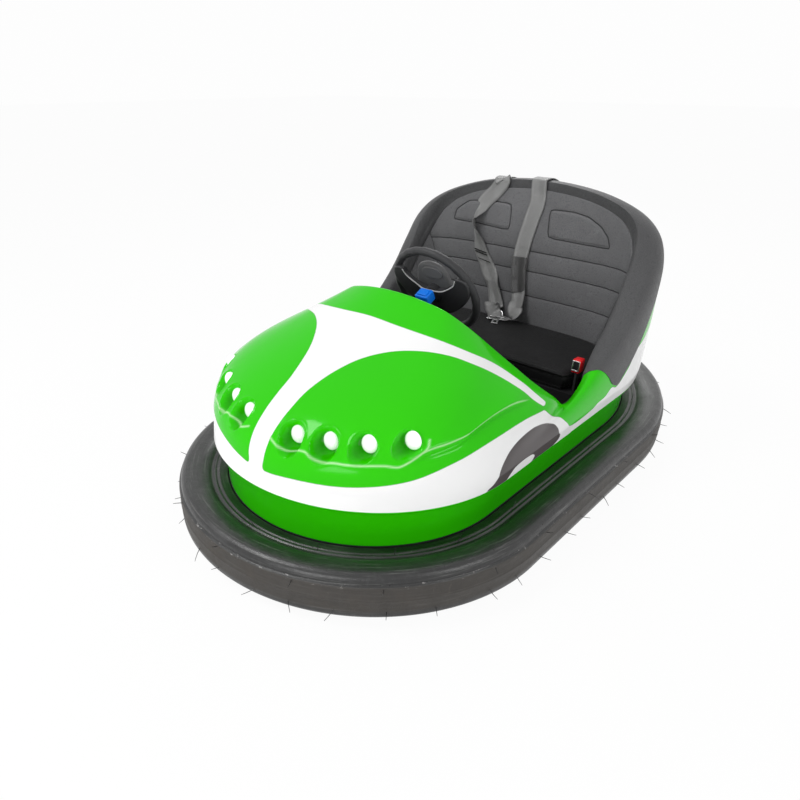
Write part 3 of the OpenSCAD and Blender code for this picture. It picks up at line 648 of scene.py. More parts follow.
class StageValues(bpy.types.PropertyGroup):
    """Light and camera of the picture."""

    key_power: bpy.props.FloatProperty(name="Key light", description="Power of the large lamp over the car",
                                       unit="POWER", default=66.0, min=0.0)
    floor: colour_value("Floor", "Colour of the floor", (0.93, 0.93, 0.93))
    lens: bpy.props.FloatProperty(name="Lens", description="Focal length of the camera", unit="CAMERA",
                                  default=29.0)


def seen_rays(tree):
    """1 for rays that reach the camera straight, mirrored or through glass."""
    path = tree.nodes.new("ShaderNodeLightPath")
    seen = path.outputs["Is Camera Ray"]
    for kind in ("Is Glossy Ray", "Is Transmission Ray"):
        both = tree.nodes.new("ShaderNodeMath")
        both.operation = "MAXIMUM"
        tree.links.new(seen, both.inputs[0])
        tree.links.new(path.outputs[kind], both.inputs[1])
        seen = both.outputs[0]
    return seen


class PieceOperator(bpy.types.Operator):
    """Base of the operators that make pieces."""

    bl_options = {"REGISTER"}

    @classmethod
    def poll(cls, context):
        return context.scene is not None


# Outlines of the paint on the skin, as station and height
LEAF_LEFT = [(0.06, 0.03), (0.06, 0.09), (0.06, 0.235), (0.06, 0.36), (0.06, 0.49), (0.085, 0.61),
             (0.135, 0.7), (0.22, 0.762), (0.325, 0.795), (0.435, 0.805), (0.535, 0.795), (0.71, 0.765),
             (0.825, 0.715), (0.915, 0.665), (0.96, 0.645), (0.995, 0.617), (0.92, 0.492), (0.845, 0.347),
             (0.765, 0.225), (0.695, 0.157), (0.61, 0.1), (0.52, 0.07), (0.43, 0.055), (0.335, 0.045),
             (0.195, 0.035), (0.09, 0.022)]
LEAF_RIGHT = [(-0.015, 0.03), (-0.02, 0.1), (-0.025, 0.2), (-0.03, 0.31), (-0.04, 0.42), (-0.055, 0.53),
              (-0.1, 0.655), (-0.165, 0.74), (-0.245, 0.792), (-0.345, 0.815), (-0.495, 0.808),
              (-0.71, 0.765), (-0.825, 0.715), (-0.915, 0.665), (-0.96, 0.645), (-0.995, 0.617),
              (-0.92, 0.492), (-0.845, 0.347), (-0.765, 0.225), (-0.695, 0.157), (-0.61, 0.11),
              (-0.52, 0.095), (-0.43, 0.09), (-0.335, 0.08), (-0.195, 0.06), (-0.06, 0.03)]
# Lower edge of the green behind the white arms, over the sill and up the tail
GREEN_TOP = [(0, 0.885), (0.185, 0.877), (0.38, 0.867), (0.525, 0.857), (0.705, 0.85), (0.835, 0.792),
             (0.935, 0.725), (0.965, 0.698), (0.975, 0.645), (1.0, 0.6), (1.255, 0.45), (1.425, 0.117),
             (1.52, -0.208), (1.615, -0.172), (1.695, 0.008), (1.79, 0.038), (1.845, 0.085), (1.905, 0.05),
             (2.0, 0.13), (2.085, 0.228), (2.19, 0.232), (2.36, 0.25), (2.7, 0.28), (4, 0.3)]
WHEEL_DRAWING = [(0.895, -1.15), (0.925, -0.5), (0.945, 0.075), (0.95, 0.228), (0.97, 0.325), (1.0, 0.385),
                 (1.035, 0.417), (1.095, 0.433), (1.17, 0.41), (1.26, 0.323), (1.325, 0.198), (1.37, 0.048),
                 (1.39, -0.2), (1.39, -0.6), (1.36, -0.95), (1.3, -1.15), (1.1, -1.3)]
WHEEL_HUB = [(1.0, -1.15), (1.01, -0.9), (1.03, -0.5), (1.05, -0.2), (1.09, -0.07), (1.13, -0.05),
             (1.165, -0.115), (1.185, -0.3), (1.195, -0.55), (1.19, -0.8), (1.165, -1.15), (1.08, -1.3)]


def inside_outline(w, v, outline):
    """True where points lie inside a closed outline on the flat of station and height."""
    x, y = w.ravel(), v.ravel()
    inside = np.zeros(len(x), bool)
    a = outline[-1]
    for b in outline:
        if a[1] != b[1]:
            crossing = (y < a[1]) != (y < b[1])
            inside ^= crossing & (x < (b[0] - a[0]) * (y - a[1]) / (b[1] - a[1]) + a[0])
        a = b
    return inside.reshape(w.shape)


def outline_distance(w, v, places, outline, closed=True):
    """Signed distance in millimetres from points on the skin to an outline, positive inside."""
    dense = np.array(outline, float)
    ahead = np.roll(dense, -1, 0)
    t = np.linspace(0, 1, 12, endpoint=False)[:, None, None]
    dense = (dense[None] + (ahead - dense)[None] * t).transpose(1, 0, 2).reshape(-1, 2)
    if not closed:
        dense = dense[:-len(t)]
    line = skin(dense[:, 0], np.clip(dense[:, 1], -1, 1))
    tree = KDTree(len(line))
    for k, point in enumerate(line):
        tree.insert(point, k)
    tree.balance()
    gaps = np.array([tree.find(p)[2] for p in places.reshape(-1, 3)]).reshape(w.shape)
    return np.where(inside_outline(w, v, dense), gaps, -gaps) if closed else gaps


def paint_values(w, v, places):
    """Signed distances of the painted areas at points on the skin."""
    w = station(w)
    top = spline([(-a, b) for a, b in GREEN_TOP[::-1] if a > 0] + GREEN_TOP, 420)
    over = [(4.2, 0.3), (4.2, 1.4), (-4.2, 1.4), (-4.2, 0.3)]
    areas = [spline(LEAF_LEFT, 240, closed=True), spline(LEAF_RIGHT, 240, closed=True),
             np.concatenate([top, over])]
    green = np.maximum.reduce([outline_distance(w, v, places, area) for area in areas])
    wheels = []
    for side in (1, -1):
        at = (w * side, v, places * [side, 1, 1])
        wheels.append(np.minimum(outline_distance(*at, spline(WHEEL_DRAWING, 160, closed=True)),
                                 -outline_distance(*at, spline(WHEEL_HUB, 120, closed=True))))
    return {"green_edge": green, "decal_edge": np.maximum(*wheels)}


# Lamps: lens centres on the car's left, each facing forward
LAMPS = np.array([[87, -766, 381], [170, -741, 385], [252, -702, 393], [325, -638, 404]], float)
LAMP_TILT = math.radians(8)
LAMP_R = 22.0
LAMP_SEAT = -6.0
LAMP_FACING = np.array([0, -math.cos(LAMP_TILT), math.sin(LAMP_TILT)])
LENS = [(0, 7.5), (7, 7.2), (13, 5.8), (17.5, 3.2), (20.5, 0.2), (21.8, -3), (22, -5.6), (0, -5.7)]
# Each scoop runs forward and outward from its lamp's seat
SCOOP_RUN = np.array([14, -56, -6.0])
SCOOP_REACH = 110.0
# Millimetres of skin from the band to the rim beside the lamps
SKIN_RISE = 420.0
# Ridge beside the fourth lamp, as station and height
RIDGE = [(0.56, 0.203), (0.605, 0.25), (0.655, 0.282), (0.705, 0.33), (0.735, 0.405), (0.77, 0.495),
         (0.815, 0.585), (0.87, 0.657)]
# Wavy moulded edge under the lamps, as station and height
LIP_EDGE = [(0.056, 0.207), (0.094, 0.181), (0.128, 0.168), (0.168, 0.186), (0.208, 0.191), (0.238, 0.168),
            (0.267, 0.156), (0.295, 0.158), (0.323, 0.165), (0.364, 0.163), (0.407, 0.163), (0.444, 0.165),
            (0.485, 0.165), (0.512, 0.16), (0.534, 0.161), (0.559, 0.186), (0.58, 0.223), (0.591, 0.26),
            (0.58, 0.305)]


def scoop_depth(points, out):
    """How far the skin is pressed in round each lamp, along its own direction."""
    depth = np.zeros(points.shape[:-1])
    for lamp in LAMPS:
        for side in (1, -1):
            centre = lamp * [side, 1, 1]
            start = centre + [0, LAMP_SEAT, 0]
            line = SCOOP_RUN * [side, 1, 1]
            near = np.linalg.norm(points - centre, axis=-1) < SCOOP_REACH
            p, n = points[near], out[near]
            # Depths tried at each point: the last one inside the scoop's cone, but not past the lamp's seat
            steps = np.arange(0, 70, 1.0)
            q = p[:, None] - n[:, None] * steps[None, :, None]
            t = np.clip(((q - start) @ line) / (line @ line), 0, 1)
            away = np.linalg.norm(q - start - t[..., None] * line, axis=-1) - (LAMP_R + 5 + 6 * t)
            last = np.where(away < 0, steps, 0).max(1)
            from_axis = q - centre
            height = from_axis @ LAMP_FACING
            radial = np.linalg.norm(from_axis - height[..., None] * LAMP_FACING, axis=-1)
            stop = np.where((height < LAMP_SEAT) & (radial < LAMP_R + 7), steps, 99).min(1)
            depth[near] = np.maximum(depth[near], np.minimum(last, stop))
    return depth


def blurred(field, times):
    """A grid of numbers evened out with its neighbours along both ways."""
    for _ in range(times):
        for axis in (0, 1):
            wide = np.pad(field, [(int(k == axis),) * 2 for k in (0, 1)], mode="edge")
            wide = np.moveaxis(wide, axis, 0)
            field = np.moveaxis((wide[:-2] + 2 * wide[1:-1] + wide[2:]) / 4, 0, axis)
    return field


def hood_skin(w, v, base, out, ridge):
    """The bonnet's skin with its scoops and ridges, the painted highlight lines along them and how far each
    point is sunk, which sets the painted shade in the scoops.
    """
    line = spline(RIDGE, 60)
    relief, edge = np.zeros(w.shape), np.zeros(w.shape)
    for side in (1, -1):
        ws = w * side
        gap = (v - np.interp(ws, line[:, 0], line[:, 1])) * SKIN_RISE
        fade = smooth_step(ws, 0.52, 0.62) * (1 - smooth_step(ws, 0.80, 0.89))
        swell = smooth_step(gap, -9, 7) * np.exp(-np.maximum(gap, 0) / 80)
        relief += fade * (swell - 0.3 * bell(gap, -15, 9))
        # edge holds the painted highlight line: along the ridge here, along the lip under the lamps below
        fade = smooth_step(ws, 0.54, 0.60) * (1 - smooth_step(ws, 0.84, 0.88))
        edge = np.maximum(edge, fade * bell(gap, 1, 2.6))
        near = (ws > -0.05) & (ws < 0.75) & (v > 0.02) & (v < 0.5)
        gaps = outline_distance(ws[near], v[near], base[near] * [side, 1, 1], spline(LIP_EDGE, 140), False)
        edge[near] = np.maximum(edge[near], bell(gaps, 0, 2.2))
        relief[near] += 0.16 * bell(gaps, 0, 6)
    depth = blurred(scoop_depth(base, out), 2)
    relief *= 1 - smooth_step(depth, 0.5, 8)
    low_side = 1 - smooth_step(v, 0.34, 0.42)
    relief += 0.42 * bell(blurred(depth, 3), 2.2, 1.9) * low_side
    # The last value sets the painted shade inside the scoops
    return base + out * (relief * ridge - depth)[..., None], edge, smooth_step(depth, 2, 20)


class BUMPERCAR_OT_body(PieceOperator):
    """Makes the bonnet, the rear shell and the skirt"""

    bl_idname = "bumpercar.body"
    bl_label = "Body"

    def execute(self, context):
        values = context.scene.bumpercar_body
        paint = paint_finish(values)
        w = np.concatenate([np.linspace(-SPLIT_W, -FINE_W, 42)[:-1], np.linspace(-FINE_W, FINE_W, 430),
                            np.linspace(FINE_W, SPLIT_W, 42)[1:]])
        lip = np.linspace(-1, 0, 8)[:-1]
        v = np.concatenate([lip, np.linspace(0, FINE_V, 72)[:-1], np.linspace(FINE_V, 1, 56)])
        self.shell("bonnet", w, v, "hood", paint, values.ridge / MM)
        w = np.linspace(SPLIT_W, 8 - SPLIT_W, 330)
        self.shell("rear_quarter_shell", w, np.concatenate([lip, np.linspace(0, 1, 70)]), "rear_shell", paint)
        self.skirt(plain_paint("gloss_green_skirt", values.green))
        return {"FINISHED"}

    def shell(self, name, w, v, node, paint, ridge=None):
        """A moulded shell with its edge turned in. The height of a ridge makes it the bonnet."""
        w, v = np.meshgrid(w, v, indexing="ij")
        if ridge is None:
            v = np.where(v > 0, v * np.minimum(leather_v(w) + UNDER_LEATHER, 1), v)
        base, out = skin(w, v), skin_out(w, v)
        values = paint_values(w, v, base)
        outer, values["painted_edge_highlight"], values["scoop"] = base, 0 * w, 0 * w
        if ridge is not None:
            outer, values["painted_edge_highlight"], values["scoop"] = hood_skin(w, v, base, out, ridge)
        sunk = np.maximum(0, ((base - outer) * out).sum(-1))
        inside = base - out * (SHELL_T + blurred(sunk, 12) * 1.2)[..., None]
        along = unit(outer[:, -1] - outer[:, -3])
        flange = [outer[:, -1] + along * FLANGE_R * math.sin(a) - out[:, -1] * FLANGE_R * (1 - math.cos(a))
                  for a in np.radians([30, 60, 90])]
        flange.append(flange[-1] - out[:, -1] * FLANGE_DEEP)
        outer = np.concatenate([outer, np.stack(flange, 1)], 1)
        values = {k: np.concatenate([a, np.repeat(a[:, -1:], 4, 1)], 1) for k, a in values.items()}
        rows = outer.shape[1]
        picks = sorted(set(np.linspace(0, rows - 5, 12).astype(int)) | {rows - 1})
        end = outer[:, -1:] - along[:, None] * (SHELL_T - 4)
        inside = np.concatenate([inside, np.stack([inside[:, -1]] * 3, 1), end], 1)
        points, faces = shell_parts(outer, inside[:, picks], picks)
        values = {k: np.concatenate([a.ravel(), a[:, picks].ravel() * 0 + 50 * (k == "green_edge")])
                  for k, a in values.items()}
        add_mesh(name, points, faces, paint, values=values, replaces=[node], slot="body_green", edge=50)

    def skirt(self, paint):
        w = np.linspace(0, 8, 480, endpoint=False)
        s = np.abs(station(w))
        lip_in, lip_z = shares(s, LIP[0]), shares(s, LIP[1]) - 0.3
        rows = [(140, 125), (138.5, 170), (lip_in + 15, lip_z - 20), (lip_in + 9, lip_z - 9),
                (lip_in + 2, lip_z - 5), (lip_in + 1, lip_z - 3), (lip_in + 1.5, lip_z), (lip_in + 21, lip_z),
                (148, 125)]
        points = np.stack([inset_point(w, a, b) for a, b in rows], 1)
        add_mesh("green_skirt", points, [grid_faces(len(w), len(rows), True, True)], paint,
                 replaces=["skirt_front", "skirt_rear"], slot="body_green", edge=50)


class BUMPERCAR_OT_lamps(PieceOperator):
    """Makes the eight round lamps"""

    bl_idname = "bumpercar.lamps"
    bl_label = "Lamps"

    def execute(self, context):
        glass = Finish("lamp_lens", (0.95, 0.95, 0.94), 0.12, coat=0.8)
        glass.set("Base Color", glass.mix(glass.noise(30.0, 2.0), (0.97, 0.97, 0.96), (0.90, 0.90, 0.89)))
        glass.shader.inputs["Emission Strength"].default_value = 0.22
        glass.set("Emission Color", glass.mix(glass.noise(20.0), (1, 1, 1), (0.94, 0.94, 0.92)))
        for side, name in ((1, "lamps_left"), (-1, "lamps_right")):
            parts = [lathe(LENS, 44, lamp * [side, 1, 1], LAMP_FACING) for lamp in LAMPS]
            add_mesh(name + "_lenses", *join_parts(parts), glass.material, replaces=[name], slot="lamp_white")
        return {"FINISHED"}


# Scuffs on the tyre: their width in millimetres and how many follow each other in one station
SCUFF_WIDE = 7.0
SCUFFS_A_STATION = 4.0


def tyre_profile():
    """The tyre's section as distance out from its outer face and height: tread, shoulder, bead rings."""
    arc = np.radians(np.linspace(0, 90, 10))
    profile = [(-70, 24), (-30, 24.5)]
    profile += [(-14 + 14 * math.sin(a), 38 - 14 * math.cos(a)) for a in arc]
    profile += [(0.6, 52), (0.6, 76), (1.4, 77.4), (1.4, 79.4), (0.6, 80.8), (0.6, 112), (0, 117),
                (-1.5, 119.6), (-4.6, 120.6), (-6.2, 122.4), (-5.6, 125)]
    profile += [(-26 + 20.4 * math.cos(a), 125.6 + 20.4 * math.sin(a)) for a in arc[1:]]
    profile += [(-38, 146), (-52, 144.4), (-66, 140.6), (-78, 135), (-86, 129.4), (-88, 126), (-91, 124.6),
                (-95, 124.4), (-97, 126.6), (-99.6, 127.6), (-102.2, 126.6), (-104, 124.4), (-107, 124.2),
                (-109, 126.2), (-112, 127), (-115, 126.2), (-117, 124.2), (-134, 123.6), (-138, 120),
                (-138, 48), (-130, 36), (-110, 28)]
    return profile


class BUMPERCAR_OT_tyre(PieceOperator):
    """Makes the inflated ring tyre"""

    bl_idname = "bumpercar.tyre"
    bl_label = "Ring tyre"

    def execute(self, context):
        values = context.scene.bumpercar_tyre
        rubber = rubber_finish("ring_tyre_rubber", values.rubber, 0.6, (0.05, 0.043, 0.036))
        profile = tyre_profile()
        w = self.even_stations(560)
        points = np.stack([inset_point(w, -a, b) for a, b in profile], 1)
        worn = [1.0 if a > -3 and 40 < b < 118 else 0.0 for a, b in profile]
        scuffed = [1.0 if 114 < b < 124 and a > -8 else 0.25 if -118 < a < -94 and b > 120 else 0.0
                   for a, b in profile]
        across = np.concatenate([[0], np.cumsum(np.linalg.norm(np.diff(profile, axis=0), axis=1))])
        marks = {"tread": np.tile(worn, len(w)), "edge_wear": np.tile(scuffed, len(w)),
                 "across": np.tile(across / SCUFF_WIDE, len(w)),
                 "around": np.repeat(np.abs(station(w)) * SCUFFS_A_STATION, len(profile))}
        add_mesh("ring_tyre", points, [grid_faces(len(w), len(profile), True, True)], rubber, values=marks,
                 replaces=["bumper_tyre"], slot="bumper_rubber", edge=60)
        self.whiskers(values, rubber)
        return {"FINISHED"}

    def even_stations(self, count):
        w = np.linspace(0, 8, 4001)
        p = inset_point(w, 0, 0)
        along = np.concatenate([[0], np.cumsum(np.linalg.norm(np.diff(p, axis=0), axis=-1))])
        return np.interp(np.linspace(0, along[-1], count, endpoint=False), along, w)

    def whiskers(self, values, rubber):
        """Thin moulding hairs left by the tyre's mould, at random angles."""
        rng = random.Random(7)
        parts = []
        half = values.whiskers // 2
        for inset, z, out, up, count in ((0.5, 46, 1.0, -0.25, values.whiskers), (0.5, 113, 1.0, 0.2, half),
                                         (-104, 127, 0.15, 1.0, half)):
            for w in self.even_stations(max(count, 1))[:count]:
                w = (w + rng.uniform(-0.03, 0.03)) % 8
                start = inset_point(w, -inset, z + rng.uniform(-2, 2))
                normal = rim_normal(w)
                side = np.array([-normal[1], normal[0], 0])
                lean = unit(normal * out + np.array([0, 0, up + rng.uniform(-0.5, 0.5)])
                            + side * rng.uniform(-0.7, 0.7))
                curl = side * rng.uniform(-1, 1) + np.array([0, 0, rng.uniform(-0.8, 0.8)])
                length = rng.uniform(18, 32)
                t = np.linspace(0, 1, 5)[:, None]
                line = start - lean * 1.5 + lean * (length + 1.5) * t + curl * length * 0.22 * t**2
                parts.append(tube(line, np.linspace(1.15, 0.6, 5), 5))
        add_mesh("tyre_whiskers", *join_parts(parts), rubber, slot="bumper_rubber")


def roll_drop(w):
    """How far the rim's leather roll hangs down inside."""
    return ROLL_DEEP * np.interp(np.abs(station(w)), [2.4, 3.1, 4], [1, 0.62, 0.52])


def down(w, depth):
    """A drop that may change along the rim, as vectors."""
    depth = np.broadcast_to(depth, np.shape(w))
    return np.stack([0 * depth, 0 * depth, -depth], -1)


def lining_foot(w):
    p = rim_point(w)
    return np.stack([p[..., 0] * FOOT_IN, p[..., 1] - FOOT_BACK, BENCH_TOP + 0.3 + 0 * p[..., 0]], -1)


def lining_top(w):
    return rim_point(w) + down(w, roll_drop(w) + 1.5)


def lining_face(w, h):
    """Front face of the seat lining at stations w and heights h from 0 to 1."""
    foot, top = lining_foot(w), lining_top(w)
    middle = (foot + top) / 2 - rim_normal(w) * LINING_T * 0.15
    h = np.asarray(h, float)[..., None]
    return foot * (1 - h) ** 2 + 2 * (2 * middle - (foot + top) / 2) * h * (1 - h) + top * h**2


def roll_rows(w):
    """Rows of the padded roll's skin: up the outside, over the rim and down the inside."""
    u = np.abs(station(w))
    low_v = leather_v(w)
    rim, normal = rim_point(w), rim_normal(w)
    fat = smooth_step(u, 1.75, 2.8)[:, None]
    wide = 11 * bell(u, 2.45, 0.5)[:, None]
    rows = []
    for t in np.linspace(0, 0.965, 26):
        v = low_v + (1 - low_v) * t
        puff = 1.8 + (2.5 + 13 * fat + wide) * math.sin(math.pi / 2 * t) ** 1.2
        rows.append(skin(w, v) + skin_out(w, v) * puff)
    back = smooth_step(u, 2.5, 2.85)[:, None]
    last, crest, side = rows[-1], rim + [0, 0, 1] * (4 + 22 * fat), rim - [0, 0, 1] * (22 - 8 * back)
    proud = 5 - 7 * back
    for t in np.linspace(0, 1, 10)[1:]:
        rows.append(last * (1 - t) ** 2 + 2 * (crest - normal * 5) * t * (1 - t)
                    + (side - normal * proud) * t * t)
    drop = roll_drop(w) - 22 + 8 * back[:, 0]
    for t in np.linspace(0, 1, 10)[1:]:
        bulge = 3 * math.sin(math.pi * t) - 5 * t * t
        rows.append(side + down(w, drop * t) - normal * (proud + bulge * (1 - back) - 3 * t * back))
    return rows


# Sewn lines of the seat back: heights of the channels, the wing line as height and station, the pockets
# as x and height
CHANNELS = (444.0, 527.0, 593.0)
WING = np.array([[296, 3.1], [426, 2.916], [507, 2.791], [576, 2.671], [615, 2.561], [660, 2.47], [800, 2.3]])
POCKET_LEFT = [(55, 733), (137, 734), (190, 726), (237, 703), (267, 675), (281, 643), (174, 643), (62, 645)]
POCKET_RIGHT = [(-88, 734), (-84, 648), (-203, 656), (-308, 659), (-300, 696), (-256, 728), (-176, 735)]
# Millimetres of seat back in one station by the wing line, and how much paler the lining is than the roll
WING_SPAN = 330.0
LINING_PALER = 1.95
# Middle lines of the belts on the seat back: station, height from 0 to 1, turn and gap to the leather
LEFT_STRAP = [(4.41, 1.06, 0, 3), (4.48, 1.02, 0, 3), (4.56, 0.96, 8, 4), (4.62, 0.9, 45, 12),
              (4.63, 0.86, 70, 15), (4.595, 0.77, 40, 10), (4.54, 0.68, 12, 5), (4.49, 0.6, 4, 4),
              (4.42, 0.52, 0, 4), (4.355, 0.44, -10, 6), (4.31, 0.36, 14, 8), (4.27, 0.28, 4, 10),
              (4.235, 0.2, -8, 14)]
RIGHT_STRAP = [(3.985, 1.05, 0, 3), (3.98, 1.0, 0, 3), (3.985, 0.95, 0, 4), (4.0, 0.9, 0, 4),
               (4.02, 0.82, 0, 4), (4.045, 0.71, 0, 4), (4.06, 0.6, 0, 4), (4.053, 0.5, 0, 5),
               (4.04, 0.42, 0, 7), (4.02, 0.34, 6, 9), (4.01, 0.27, 14, 14)]
# Their ends above the cushion: place and direction across
LEFT_TAIL = [(-96, 342, 400, 1, 0, 0), (-90, 337, 386, 1, 0, 0.1), (-80, 333, 375, 0.9, -0.1, 0.3),
             (-70, 327, 370, 0.9, 0.1, 0.3), (-58, 315, 370, 0.93, 0.3, 0.1), (-47, 304, 369, 0.94, 0.34, 0)]
RIGHT_TAIL = [(-6, 350, 402, 1, 0, 0), (4, 340, 386, 0.95, -0.2, 0), (8, 328, 371, 0.6, -0.7, 0.2),
              (-4, 320, 363, 0, -1, 0.25), (-22, 321, 363, 0, -1, 0.1), (-44, 326, 367, 0, -1, 0.2)]
STRAP_WIDE = 54.0
STRAP_END = 32.0
STRAP_THICK = 3.0
STRAP_LIFT = 4.6
# Section of a strap as shares of its width and thickness
RIBBON = np.array([(-0.5, -0.25), (-0.485, -0.5), (-0.25, -0.5), (0, -0.5), (0.25, -0.5), (0.485, -0.5),
                   (0.5, -0.25), (0.5, 0.25), (0.485, 0.5), (0.25, 0.5), (0, 0.5), (-0.25, 0.5),
                   (-0.485, 0.5), (-0.5, 0.25)])
# Rings of the cushion: share of the outline and lift; then drop, share and distance to the piping
CUSHION_CROWN = [(0.1, 4.0), (0.3, 3.88), (0.5, 3.44), (0.68, 2.64), (0.82, 1.6), (0.9, 0.88), (0.94, 0.4)]
CUSHION_SIDE = [(1, 0.965, 8), (4, 0.982, 4), (8, 0.991, 0.8), (10, 0.994, 0), (13, 0.991, 0.8),
                (17, 0.997, 4), (24, 1.003, 9), (32, 1.004, 12), (40, 0.999, 8), (45, 0.993, 3),
                (47.5, 0.987, 0), (50, 0.990, 3), (54, 0.985, 8), (55.4, 0.965, 12)]


def on_lining(w, h, gap):
    """Points at a gap in front of the seat lining."""
    return lining_face(w, h) - rim_normal(w) * gap


def polygon_distance(x, y, outline):
    """Signed distance from points to a closed outline on a plane, positive inside."""
    inside = inside_outline(x, y, outline)
    best = np.full(x.shape, 1e9)
    a = np.array(outline[-1], float)
    for b in np.array(outline, float):
        run = b - a
        t = np.clip(((x - a[0]) * run[0] + (y - a[1]) * run[1]) / max(run @ run, 1e-9), 0, 1)
        best = np.minimum(best, np.hypot(x - a[0] - t * run[0], y - a[1] - t * run[1]))
        a = b
    return np.where(inside, best, -best)


def rounded(outline, share=0.22):
    """A closed outline with its corners cut to short curves."""
    points = np.array(outline, float)
    before, after = np.roll(points, 1, 0), np.roll(points, -1, 0)
    return [tuple(point + (other - point) * share * k) for one in zip(before, points, after)
            for point, other, k in ((one[1], one[0], 1), (one[1], (one[0] + one[2]) / 2, 0.35),
                                    (one[1], one[2], 1))]


def block_parts(centre, size, bevel, place=None):
    """Points and faces of a block with rounded edges."""
    form = bmesh.new()
    bmesh.ops.create_cube(form, size=1.0)
    bmesh.ops.scale(form, vec=Vector(size), verts=form.verts)
    bmesh.ops.bevel(form, geom=list(form.edges), offset=bevel, segments=3, profile=0.5, affect="EDGES")
    points = np.array([list(v.co) for v in form.verts]) + centre
    faces = [np.array([[v.index for v in f.verts]]) for f in form.faces]
    form.free()
    return (points if place is None else place(points)), faces


def plate_parts(outline, low, high, bevel, place=None):
    """Points and faces of a flat plate with rounded upper and lower edges."""
    flat = np.array(outline, float)
    middle = flat.mean(0)
    reach = np.linalg.norm(flat - middle, axis=1, keepdims=True)
    rows = []
    for cut, z in ((bevel * 2.5, low), (bevel, low), (bevel * 0.3, low + bevel * 0.3), (0, low + bevel),
                   (0, high - bevel), (bevel * 0.3, high - bevel * 0.3), (bevel, high), (bevel * 2.5, high)):
        rows.append(np.column_stack([middle + (flat - middle) * (1 - cut / reach), np.full(len(flat), z)]))
    points = np.concatenate(rows)
    return (points if place is None else place(points)), sleeve_faces(len(rows), len(flat), turned=True)


def ribbon_parts(centre, across, width, thick):
    """Points, faces, run and side values of a strap along a middle line."""
    centre = np.asarray(centre, float)
    along = unit(np.gradient(centre, axis=0))
    across = unit(across - along * (across * along).sum(-1, keepdims=True))
    out = np.cross(along, across)
    width = np.broadcast_to(np.asarray(width, float), (len(centre),))
    points = (centre[:, None] + across[:, None] * RIBBON[None, :, :1] * width[:, None, None]
              + out[:, None] * RIBBON[None, :, 1:] * thick)
    run = np.concatenate([[0], np.cumsum(np.linalg.norm(np.diff(centre, axis=0), axis=1))])
    return (points.reshape(-1, 3), sleeve_faces(len(centre), len(RIBBON)), np.repeat(run, len(RIBBON)),
            (RIBBON[None, :, 0] * width[:, None]).ravel())


